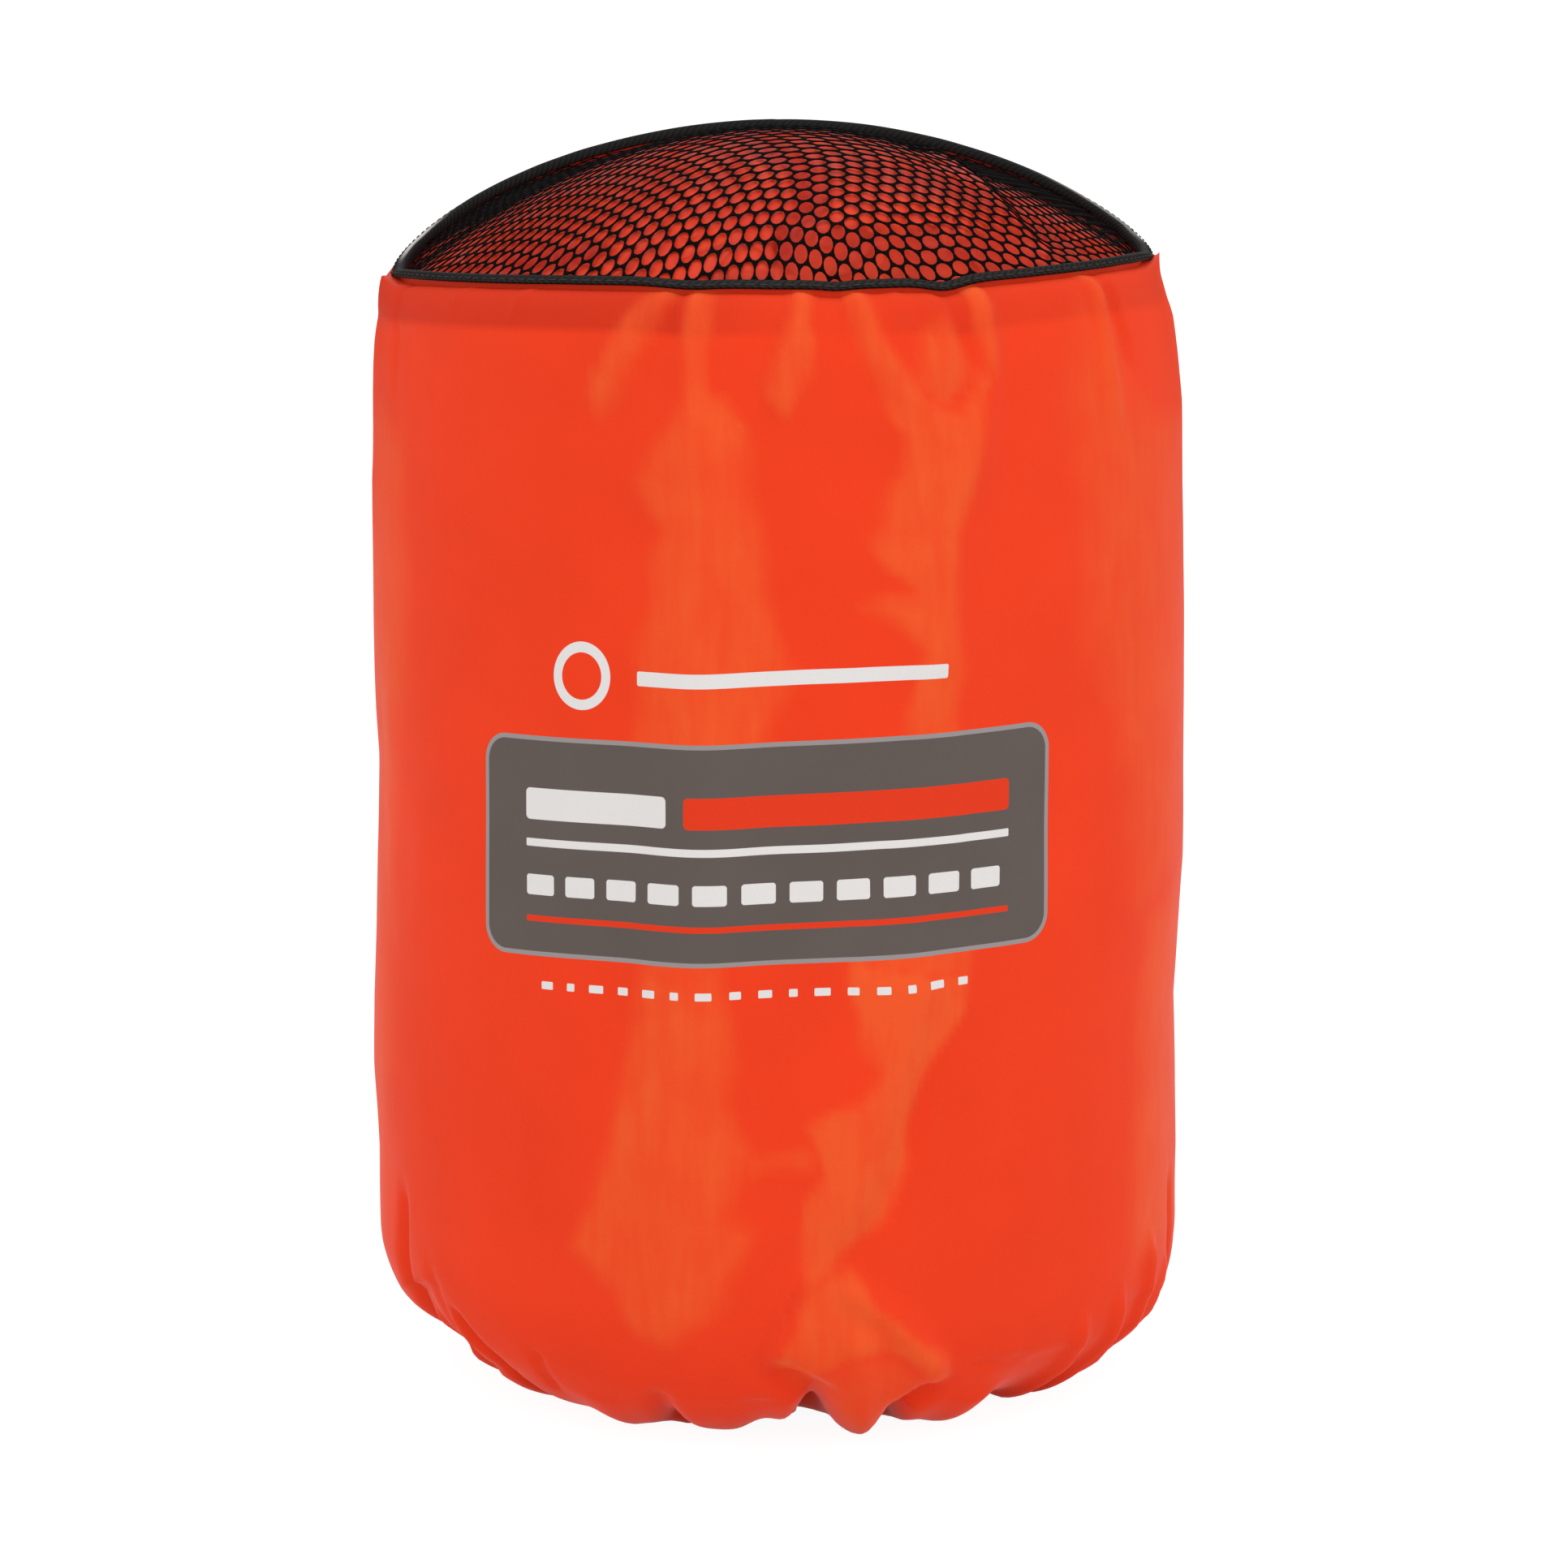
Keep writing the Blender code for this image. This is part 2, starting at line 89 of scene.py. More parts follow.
def at(radius, angle, height):
    """Points at radii, angles from the front, and heights."""
    radius, angle, height = np.broadcast_arrays(radius, angle, height)
    return np.stack([radius * np.sin(angle), -radius * np.cos(angle), height], axis=-1)


def round_angles(count):
    """Even angles once round the sack, from the middle of the back."""
    return (np.arange(count) / count - 0.5) * 2 * math.pi


def half_width(node_name):
    """Half the width of a node."""
    low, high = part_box(node_name)
    return (high.x - low.x) / 2


SIDE_RADIUS = half_width("sack_tube")
NET_RADIUS = half_width("mesh_end")
BUNDLE_RADIUS = half_width("canopy")
TAPE_RADIUS = half_width("rim_binding")
BASE_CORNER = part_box("mouth_gathers")[1].z
CORD_FOOT, CORD_TOP = (corner.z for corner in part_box("drawcord"))
CORD_RADIUS = (CORD_TOP - CORD_FOOT) / 2
MOUTH_HEIGHT = (CORD_TOP + CORD_FOOT) / 2
MOUTH_RADIUS = half_width("drawcord") - CORD_RADIUS
CLEARANCE = 0.35 * MM
TAPE = 0.4 * MM
RIM_RADIUS = TAPE_RADIUS - TAPE - CLEARANCE
CORNER_CENTRE = SIDE_RADIUS - BASE_CORNER
ROUND_LENGTH = 2 * math.pi * SIDE_RADIUS
print(f"side {SIDE_RADIUS * 1000:.1f}, rim {RIM_RADIUS * 1000:.1f}, net {NET_RADIUS * 1000:.1f} mm")

# %% [markdown]
# ## Camera
# The photograph looks a little down on the sack from far away. The camera stands level with it
# in front, and its lens was fitted to the sack's outline.

# %% Camera
CAMERA_PLACE = Vector((0.7 * MM, -1.200, 0.3651))
CAMERA_TILT = math.radians(90 - 12.487)
CAMERA_LENS = 167.16

camera = new_object("camera", bpy.data.cameras.new("camera"))
camera.data.sensor_width = 36.0
camera.data.lens = CAMERA_LENS
camera.location = CAMERA_PLACE
camera.rotation_euler = (CAMERA_TILT, 0, 0)
bpy.context.scene.camera = camera
bpy.context.scene.view_settings.view_transform = "Standard"
print("camera at", tuple(round(x, 3) for x in camera.location), "lens", CAMERA_LENS)

# %% [markdown]
# ## Material helpers
# Every finish is a Principled shader. A few short helpers wire the nodes, so that each material
# below reads as a recipe: its colour, its weave, its creases.

# %% Material helpers
def give(tree, socket, value):
    """Links another node's output to an input, or sets the input to a plain value."""
    if isinstance(value, bpy.types.NodeSocket):
        tree.links.new(value, socket)
    else:
        socket.default_value = value


def node(tree, kind, settings=None, *values, **named):
    """A node with its settings, its first inputs in order, and inputs by name (_ stands for a space)."""
    made = tree.nodes.new(kind)
    for key, value in (settings or {}).items():
        setattr(made, key, value)
    for socket, value in zip(made.inputs, values):
        give(tree, socket, value)
    for key, value in named.items():
        give(tree, made.inputs[key.replace("_", " ")], value)
    return made


def math_node(tree, operation, *values):
    """The result of a Math node."""
    return node(tree, "ShaderNodeMath", {"operation": operation}, *values).outputs[0]


def mixed(tree, share, under, over):
    """Colour under, covered by colour over where share is 1."""
    made = node(tree, "ShaderNodeMix", {"data_type": "RGBA"})
    sockets = {socket.identifier: socket for socket in made.inputs}
    for name, value in (("Factor_Float", share), ("A_Color", under), ("B_Color", over)):
        give(tree, sockets[name], (*value, 1.0) if isinstance(value, tuple) else value)
    return next(socket for socket in made.outputs if socket.identifier == "Result_Color")


def toned(colour, share):
    """A colour made darker or paler."""
    return tuple(c * share for c in colour)


def noise(tree, place, scale, detail=2.0, distortion=0.0):
    """A Noise texture's value at a place."""
    return node(tree, "ShaderNodeTexNoise", Vector=place, Scale=scale, Detail=detail,
                Distortion=distortion).outputs[0]


def wave(tree, place, length):
    """A sine wave along a place."""
    return math_node(tree, "SINE", math_node(tree, "MULTIPLY", place, 2 * math.pi / length))


def point_value(tree, name):
    """A value that is kept at the mesh's corners."""
    return node(tree, "ShaderNodeAttribute", {"attribute_name": name}).outputs["Fac"]


def object_place(tree):
    """Where a point is on the object."""
    return node(tree, "ShaderNodeTexCoord").outputs["Object"]


def cloth_place(tree):
    """Where a point is on the flat cloth: the place, and its parts across and up, in metres."""
    place = node(tree, "ShaderNodeUVMap", {"uv_map": "cloth"}).outputs[0]
    split = node(tree, "ShaderNodeSeparateXYZ", None, place)
    return place, split.outputs[0], split.outputs[1]


def plain_weave(tree, across, up, pitch):
    """The over-and-under of a plain weave, from its place on the flat cloth."""
    return math_node(tree, "MULTIPLY", *(wave(tree, place, 2 * pitch) for place in (across, up)))


def new_material(name, colour, roughness, **settings):
    """A Principled material, and the things needed to add nodes to it."""
    made = bpy.data.materials.new(name)
    made.use_nodes = True
    made.diffuse_color = (*colour, 1.0)
    shader = made.node_tree.nodes["Principled BSDF"]
    for socket, value in {"Base Color": (*colour, 1.0), "Roughness": roughness, **settings}.items():
        shader.inputs[socket.replace("_", " ")].default_value = value
    return made, made.node_tree, shader


def surfaced(tree, shader, colour, *bumps):
    """Gives a shader its colour and its stacked bumps, each (height, depth in metres)."""
    give(tree, shader.inputs["Base Color"], colour)
    normal = {}
    for height, depth in bumps:
        bump = node(tree, "ShaderNodeBump", Strength=1.0, Distance=depth, Height=height, **normal)
        normal = {"Normal": bump.outputs[0]}
    give(tree, shader.inputs["Normal"], normal["Normal"])


# %% [markdown]
# ## Print on the front
# The print is a grey panel with plain bars, a ring and rows of dashes. Each is a soft-cornered
# box mask over the flat cloth, so the print follows the folds.

# %% Print on the front
PRINT_ORANGE = (0.80, 0.055, 0.02)
PRINT_WHITE = (0.80, 0.78, 0.77)
PRINT_GREY = (0.145, 0.118, 0.108)
PRINT_BORDER = (0.36, 0.33, 0.33)
PANEL_MIDDLE = (-2.9 * MM, 103.0 * MM)
PANEL_HALF = (50.0 * MM, 18.2 * MM)
PANEL_CORNER = 4.6 * MM
PANEL_ARCH = 0.9 * MM
PANEL_TILT = 0.027
BORDER = 0.75 * MM
EDGE = 0.06 * MM
RING_MIDDLE = (-33 * MM, 131.0 * MM)
RING_RADIUS, RING_HOLE = 5.2 * MM, 3.6 * MM
BarRow = namedtuple("BarRow", "left up height lengths gap paint")
PRINT_ROWS = [
    BarRow(-44, 110.0, 5.2, [26], 0, PRINT_WHITE),
    BarRow(-15, 110.0, 5.2, [54], 0, PRINT_ORANGE),
    BarRow(-44, 103.6, 1.3, [83], 0, PRINT_WHITE),
    BarRow(-44, 96.6, 3.4, [5.4] * 11, 2.2, PRINT_WHITE),
    BarRow(-44, 91.0, 1.0, [83], 0, PRINT_ORANGE),
    BarRow(-23, 131.0, 2.2, [50], 0, PRINT_WHITE),
    BarRow(-41, 80.0, 1.3, [2.2, 1.4, 2.6, 1.8] * 4, 2.7, PRINT_WHITE),
]


def bars_of(row):
    """The plain bars of a row (in millimetres), as middle, half size and paint."""
    bars, left = [], row.left
    for length in row.lengths:
        middle = ((left + length / 2) * MM, row.up * MM)
        bars.append((middle, (length / 2 * MM, row.height / 2 * MM), row.paint))
        left += length + row.gap
    return bars


def box_mask(tree, across, up, middle, half, corner):
    """1 inside a rectangle with round corners, 0 outside."""
    gaps = []
    for place, centre, size in ((across, middle[0], half[0]), (up, middle[1], half[1])):
        out = math_node(tree, "ABSOLUTE", math_node(tree, "SUBTRACT", place, centre))
        gaps.append(math_node(tree, "MAXIMUM", math_node(tree, "SUBTRACT", out, size - corner), 0.0))
    squares = [math_node(tree, "MULTIPLY", gap, gap) for gap in gaps]
    distance = math_node(tree, "SQRT", math_node(tree, "ADD", *squares))
    inside = math_node(tree, "SUBTRACT", corner + EDGE / 2, distance)
    clamped = math_node(tree, "DIVIDE", inside, EDGE)
    return math_node(tree, "MINIMUM", math_node(tree, "MAXIMUM", clamped, 0.0), 1.0)


def add_print(tree, across, up, bare):
    """The print over the cloth's bare colour. It returns the colour and the ink's mask."""
    reach = math_node(tree, "DIVIDE", math_node(tree, "SUBTRACT", across, PANEL_MIDDLE[0]), PANEL_HALF[0])
    arch = math_node(tree, "MULTIPLY", math_node(tree, "MULTIPLY", reach, reach), PANEL_ARCH)
    level = math_node(tree, "MULTIPLY_ADD", across, -PANEL_TILT, math_node(tree, "ADD", up, arch))
    border = box_mask(tree, across, level, PANEL_MIDDLE, PANEL_HALF, PANEL_CORNER)
    inner_half = tuple(half - BORDER for half in PANEL_HALF)
    panel = box_mask(tree, across, level, PANEL_MIDDLE, inner_half, PANEL_CORNER - BORDER)
    worn = noise(tree, object_place(tree), 70.0, 3.0)
    grey = mixed(tree, worn, toned(PRINT_GREY, 0.92), toned(PRINT_GREY, 1.08))
    colour = mixed(tree, panel, mixed(tree, border, bare, PRINT_BORDER), grey)
    ink = border
    for middle, half, paint in (bar for row in PRINT_ROWS for bar in bars_of(row)):
        mask = box_mask(tree, across, level, middle, half, min(half) * 0.3)
        colour = mixed(tree, mask, colour, paint)
        ink = math_node(tree, "MAXIMUM", ink, mask)
    ring, hole = (box_mask(tree, across, level, RING_MIDDLE, (radius, radius), radius)
                  for radius in (RING_RADIUS, RING_HOLE))
    colour = mixed(tree, hole, mixed(tree, ring, colour, PRINT_WHITE), bare)
    return colour, math_node(tree, "MAXIMUM", ink, math_node(tree, "SUBTRACT", ring, hole))


print("print: a panel with", sum(len(row.lengths) for row in PRINT_ROWS), "plain bars")

# %% [markdown]
# ## Sack cloth
# Coated nylon: a smooth taffeta whose threads barely show. Paler patches are painted into its colour
# as a painted sheen where the folds catch the light. Under the net a turned hem doubles the cloth, and
# that band looks darker.

# %% Sack cloth
SACK_ORANGE = (0.87, 0.060, 0.019)
# The paler orange of a painted sheen, where the folds catch the light.
SHEEN_ORANGE = (0.89, 0.118, 0.030)
HEM_BAND_ORANGE = (0.70, 0.043, 0.016)
WARM_SHINE = (1.0, 0.75, 0.2, 1.0)
THREAD_PITCH = 0.36 * MM
STREAK_SQUEEZE = (1.0, 0.16, 1.0)


def sack_cloth():
    """Orange coated nylon with the print, and the darker band of the turned hem."""
    made, tree, shader = new_material("sack_nylon", SACK_ORANGE, 0.55, Specular_IOR_Level=0.05,
                                      Diffuse_Roughness=0.8, Specular_Tint=WARM_SHINE)
    place, across, up = cloth_place(tree)
    mottle = noise(tree, object_place(tree), 45.0)
    colour = mixed(tree, mottle, toned(SACK_ORANGE, 0.94), toned(SACK_ORANGE, 1.08))
    colour = mixed(tree, point_value(tree, "turned_hem"), colour, HEM_BAND_ORANGE)
    # Painted sheen: the areas in the point value are painted paler, streaked and blotched by noise.
    drawn_out = node(tree, "ShaderNodeMapping", Vector=place, Scale=STREAK_SQUEEZE).outputs[0]
    streak = math_node(tree, "MULTIPLY_ADD", noise(tree, drawn_out, 420.0, 3.0, 0.3), 1.3, 0.35)
    blotch = math_node(tree, "MULTIPLY_ADD", noise(tree, place, 110.0, 3.0, 0.5), 1.2, 0.40)
    patchy = math_node(tree, "MULTIPLY", streak, blotch)
    share = math_node(tree, "MULTIPLY", point_value(tree, "taut"), patchy)
    colour = mixed(tree, math_node(tree, "MINIMUM", share, 1.0), colour, SHEEN_ORANGE)
    colour, ink = add_print(tree, across, up, colour)
    give(tree, shader.inputs["Roughness"], math_node(tree, "MULTIPLY_ADD", ink, 0.08, 0.50))
    crease = noise(tree, object_place(tree), 160.0, 3.0, 0.4)
    weave = plain_weave(tree, across, up, THREAD_PITCH)
    surfaced(tree, shader, colour, (crease, 0.10 * MM), (weave, 0.010 * MM))
    return made


def plain_sack_cloth():
    """The same nylon without print, for the layers inside."""
    made, tree, shader = new_material("sack_nylon_inside", SACK_ORANGE, 0.40, Specular_IOR_Level=0.5)
    place, across, up = cloth_place(tree)
    colour = mixed(tree, noise(tree, object_place(tree), 60.0), toned(SACK_ORANGE, 0.9), SACK_ORANGE)
    surfaced(tree, shader, colour, (plain_weave(tree, across, up, THREAD_PITCH), 0.012 * MM))
    return made


SACK_CLOTH = sack_cloth()
SACK_CLOTH_PLAIN = plain_sack_cloth()
print("sack cloth weave", THREAD_PITCH * 1000, "mm")

# %% [markdown]
# ## Smooth values
# Folds and noise need smooth values between a few given ones. Paths on the cloth need to know
# how far away a point lies, how far along the path, and on which side.

# %% Smooth values
def smooth(share):
    """Goes from 0 to 1 with level ends."""
    share = np.clip(share, 0.0, 1.0)
    return share * share * (3 - 2 * share)


def hump(gap, width):
    """1 where the gap is 0, fading to 0 over about twice the width."""
    return np.exp(-(gap / width) ** 2)


def between(p0, p1, p2, p3, t):
    """The smooth curve through four even values, between the middle two."""
    return p1 + t / 2 * (p2 - p0 + t * (2 * p0 - 5 * p1 + 4 * p2 - p3 + t * (3 * (p1 - p2) + p3 - p0)))


def cubic(table, rows, place, periodic=True):
    """The smooth value at a place along chosen rows of a table."""
    count = table.shape[1]
    first = np.floor(place).astype(int)
    picks = [(first + k) % count if periodic else np.clip(first + k, 0, count - 1) for k in (-1, 0, 1, 2)]
    return between(*(table[rows, pick] for pick in picks), place - first)


def soft_noise(across, up, seed, cells_across, cells_up, periodic=True):
    """Smooth random heights from -1 to 1 over shares across (periodic) and up."""
    table = np.random.default_rng(seed).uniform(-1, 1, (cells_up + 3, cells_across))
    rows = np.clip(up, 0, 0.9999) * cells_up + 1
    first = np.floor(rows).astype(int)
    near = [cubic(table, first + k, across * cells_across, periodic) for k in (-1, 0, 1, 2)]
    return between(*near, rows - first)


def round_gap(gap, once_round=ROUND_LENGTH):
    """A distance round the sack, taken the short way."""
    return (gap + once_round / 2) % once_round - once_round / 2


def from_line(start, end, across, up):
    """How far points lie from a line, how far along it, and on which side."""
    length = np.hypot(*(end - start))
    way = (end - start) / length
    da, db = across - start[0], up - start[1]
    along = np.clip(da * way[0] + db * way[1], 0, length)
    ra, rb = da - along * way[0], db - along * way[1]
    return np.hypot(ra, rb), along, np.sign(way[0] * rb - way[1] * ra)


def from_path(path, across, up):
    """How far points lie from a path, at which share of it, and on which side."""
    total = np.hypot(*np.diff(path, axis=0).T).sum()
    nearest, gone = np.full(across.shape, np.inf), 0.0
    share, side = np.zeros(across.shape), np.zeros(across.shape)
    for start, end in zip(path, path[1:]):
        distance, along, flank = from_line(start, end, across, up)
        closer = distance < nearest
        nearest = np.where(closer, distance, nearest)
        share = np.where(closer, (gone + along) / total, share)
        side = np.where(closer, flank, side)
        gone += np.hypot(*(end - start))
    return nearest, share, side


# %% [markdown]
# ## Mesh helpers
# Cloth is a grid that runs round the sack and down it. The grid is bent by adding small heights
# along its normals. A shell has an outer and an inner face, joined at the edges, so that every
# piece is closed.

# %% Mesh helpers
def add_object(name, points, faces, material, uvs=None, attributes=None):
    """A smooth mesh object from arrays, with its flat cloth map and its point values."""
    mesh = bpy.data.meshes.new(name)
    mesh.from_pydata(points.tolist(), [], faces.tolist())
    if uvs is not None:
        mesh.uv_layers.new(name="cloth").data.foreach_set("uv", uvs.astype(np.float32).ravel())
    for key, values in (attributes or {}).items():
        mark(mesh, key, values)
    mesh.materials.append(material)
    mesh.shade_smooth()
    return new_object(name, mesh)


def mark(mesh, key, values):
    """Keeps a value at each corner of a mesh, for a material to read."""
    mesh.attributes.new(key, "FLOAT", "POINT").data.foreach_set("value", values.astype(np.float32).ravel())


def grid_faces(rows, columns, round_it):
    """The quads of a grid of points, row by row, and the row and column of their corners."""
    spans = columns if round_it else columns - 1
    row, column = np.repeat(np.arange(rows - 1), spans), np.tile(np.arange(spans), rows - 1)
    places = np.array([[row, column], [row + 1, column], [row + 1, column + 1], [row, column + 1]])
    return (places[:, 0] * columns + places[:, 1] % columns).T, places.transpose(2, 0, 1)


def shell(name, outer, inner, material, across, up, round_it, attributes=None):
    """A closed cloth piece from its outer and inner grids of points (rows from the top down)."""
    rows, columns = outer.shape[:2]
    count = rows * columns
    faces_out, places = grid_faces(rows, columns, round_it)
    steps = range(columns if round_it else columns - 1)
    edges = [(0, c, 0, c + 1) for c in steps] + [(rows - 1, c + 1, rows - 1, c) for c in steps]
    if not round_it:
        edges += [(r + 1, 0, r, 0) for r in range(rows - 1)]
        edges += [(r, columns - 1, r + 1, columns - 1) for r in range(rows - 1)]
    rim_faces, rim_places = [], []
    for row_a, column_a, row_b, column_b in edges:
        a, b = row_a * columns + column_a % columns, row_b * columns + column_b % columns
        rim_faces.append((a, b, b + count, a + count))
        rim_places.append(((row_a, column_a), (row_b, column_b), (row_b, column_b), (row_a, column_a)))
    faces = np.concatenate([faces_out, faces_out[:, ::-1] + count, rim_faces])
    places = np.concatenate([places, places[:, ::-1], rim_places])
    spread = np.append(across, 2 * across[-1] - across[-2])
    uvs = np.stack([spread[places[..., 1]], up[places[..., 0]]], axis=-1)
    points = np.concatenate([outer.reshape(-1, 3), inner.reshape(-1, 3)])
    both = {key: np.tile(value.ravel(), 2) for key, value in (attributes or {}).items()}
    made = add_object(name, points, faces, material, uvs, both)
    made.data.set_sharp_from_angle(angle=math.radians(60))
    return made


def tube(name, radius, angle, height, girth, around, material, attributes=None, turned=False):
    """A closed tube that runs once round the sack, with its map along the girth and around the section."""
    rows, columns = len(radius), angle.size
    faces, places = grid_faces(rows + 1, columns, True)
    along = np.append(angle, math.pi) * girth
    uvs = np.stack([along[places[..., 1]], around[places[..., 0]]], axis=-1)
    faces = faces % (rows * columns)
    if turned:
        faces, uvs = faces[:, ::-1], uvs[:, ::-1]
    points = leaned(at(radius, angle, height))
    return add_object(name, points.reshape(-1, 3), faces, material, uvs, attributes)


# %% [markdown]
# ## The shape of the sack
# The sack is round, so a profile describes it: the lip under the tape, the shoulder, the side,
# the corner of the base, the gathered cloth below and the hem round the cord. The rim isn't
# level, so the top of the profile is raised by an amount that changes round the sack.

# %% Rim height round the sack
ROUND_COUNT = 48
Dip = namedtuple("Dip", "across depth width")
RIM_DIPS = [
    Dip(30.5 * MM, 1.0 * MM, 4.5 * MM), Dip(-14 * MM, 0.4 * MM, 5 * MM), Dip(11 * MM, 0.3 * MM, 3 * MM),
    Dip(-22 * MM, -1.25 * MM, 32 * MM), Dip(92 * MM, -0.35 * MM, 20 * MM),
    Dip(-152 * MM, -0.95 * MM, 36 * MM),
]


def round_table(node_name, radius, within):
    """A node's highest point at even angles from the front, at one radius."""
    radii, angles, heights = polar_of(corners(nodes[node_name].data))
    near = abs(radii - radius) < within
    slots = np.round(angles[near] / (2 * math.pi) * ROUND_COUNT).astype(int) % ROUND_COUNT
    table = np.full(ROUND_COUNT, -np.inf)
    np.maximum.at(table, slots, heights[near])
    return table


def rim_dip(angle):
    """How far the rim dips where folds start. It also stands a little higher in front."""
    across = round_gap(angle, 2 * math.pi) * SIDE_RADIUS
    return sum(dip.depth * hump(across - dip.across, dip.width) for dip in RIM_DIPS)


def rim_rise(angle):
    """How far the lip stands above its sides."""
    return cubic(RIM_TABLE[None], 0, angle / (2 * math.pi) * ROUND_COUNT) - RIM_LEVEL - rim_dip(angle)


RIM_TABLE = round_table("rim_binding", TAPE_RADIUS, 0.1 * MM) - TAPE - CLEARANCE
RIM_LEVEL = (RIM_TABLE[ROUND_COUNT // 4] + RIM_TABLE[3 * ROUND_COUNT // 4]) / 2
print("rim height from", round(RIM_TABLE.min() * 1000, 1), "to", round(RIM_TABLE.max() * 1000, 1), "mm")

# %% [markdown]
# ## Profile of the side
# The profile keeps each row's radius and level, the direction out of the cloth, and the height
# on the flat cloth. The top of the sack also leans a little to the left.

# %% Profile of the side
SHOULDER_DROP = 13.5 * MM
SHOULDER_SQUARENESS = 3.0
SHOULDER_ROWS = 12
LIP_HEIGHT = 1.4 * MM
SWAY_DEPTH = 70 * MM
SHOULDER_FOOT = RIM_LEVEL - LIP_HEIGHT - SHOULDER_DROP
LEAN = -1.2 * MM
LEAN_START, LEAN_FULL = 150 * MM, 188 * MM
Profile = namedtuple("Profile", "radius level out_across out_up down")


def with_normals(radius, level, down):
    """Adds the outward direction along a profile that runs from the top down."""
    along_r, along_z = np.gradient(radius), np.gradient(level)
    length = np.hypot(along_r, along_z)
    return Profile(radius, level, -along_z / length, along_r / length, down)


def rows_of(profile, rows):
    """Some rows of a profile."""
    return Profile(*(value[rows] for value in profile))


def side_profile(rows):
    """Lip, shoulder and side, from the top down."""
    angle = np.linspace(math.pi / 2, 0, SHOULDER_ROWS + 1)
    out = np.maximum(np.cos(angle), 0) ** (2 / SHOULDER_SQUARENESS)
    up = np.sin(angle) ** (2 / SHOULDER_SQUARENESS)
    side = np.linspace(SHOULDER_FOOT, BASE_CORNER, rows)[1:]
    shoulder = RIM_RADIUS + (SIDE_RADIUS - RIM_RADIUS) * out
    radius = np.concatenate([[RIM_RADIUS], shoulder, np.full(len(side), SIDE_RADIUS)])
    level = np.concatenate([[RIM_LEVEL], SHOULDER_FOOT + SHOULDER_DROP * up, side])
    return with_normals(radius, level, level)


def leaned(points):
    """Shifts the top of the sack a little to the left."""
    points[..., 0] += LEAN * smooth((points[..., 2] - LEAN_START) / (LEAN_FULL - LEAN_START))
    return points


def raised(profile, angle):
    """How far each row is raised at each angle, by the rim that isn't level."""
    return smooth((profile.level - RIM_LEVEL + SWAY_DEPTH) / SWAY_DEPTH)[:, None] * rim_rise(angle)


def placed(profile, angle, out):
    """Points of the profile at each angle, moved out along its normals. Rows run down the profile."""
    radius = profile.radius[:, None] + out * profile.out_across[:, None]
    height = profile.level[:, None] + raised(profile, angle) + out * profile.out_up[:, None]
    return leaned(at(radius, angle, height))


def heights_of(profile, angle):
    """The height on the cloth at each row and angle. Below the corner it goes on down the cloth."""
    return profile.down[:, None] + raised(profile, angle)


# %% [markdown]
# ## Fold helpers
# Loose cloth on a full sack falls in a few clear folds. Each fold is a short path on the cloth,
# with a width and a height at both ends. A negative height is a crease.

# %% Fold helpers
Fold = namedtuple("Fold", "path width height lean")
FOLD_STRENGTH = 1.5


def fold(path, width, height, lean=0.0):
    """A fold from its path, and its width and height at both ends, in mm. Lean makes one flank steeper."""
    return Fold(np.array(path) * MM, np.array(width) * MM, np.array(height) * MM * FOLD_STRENGTH, lean)


def fold_height(item, across, up):
    """One fold's height over the cloth. It fades at its ends, less so at its start."""
    nearest, share, side = from_path(item.path, across, up)
    width = (item.width[0] + (item.width[1] - item.width[0]) * share) * (1 + item.lean * side)
    height = item.height[0] + (item.height[1] - item.height[0]) * share
    fade = smooth(share / 0.15 + 0.35) * smooth((1 - share) / 0.25)
    return height * fade * hump(nearest, width)


def folds_height(items, across, up):
    """All folds together."""
    return sum((fold_height(item, across, up) for item in items), np.zeros(across.shape))
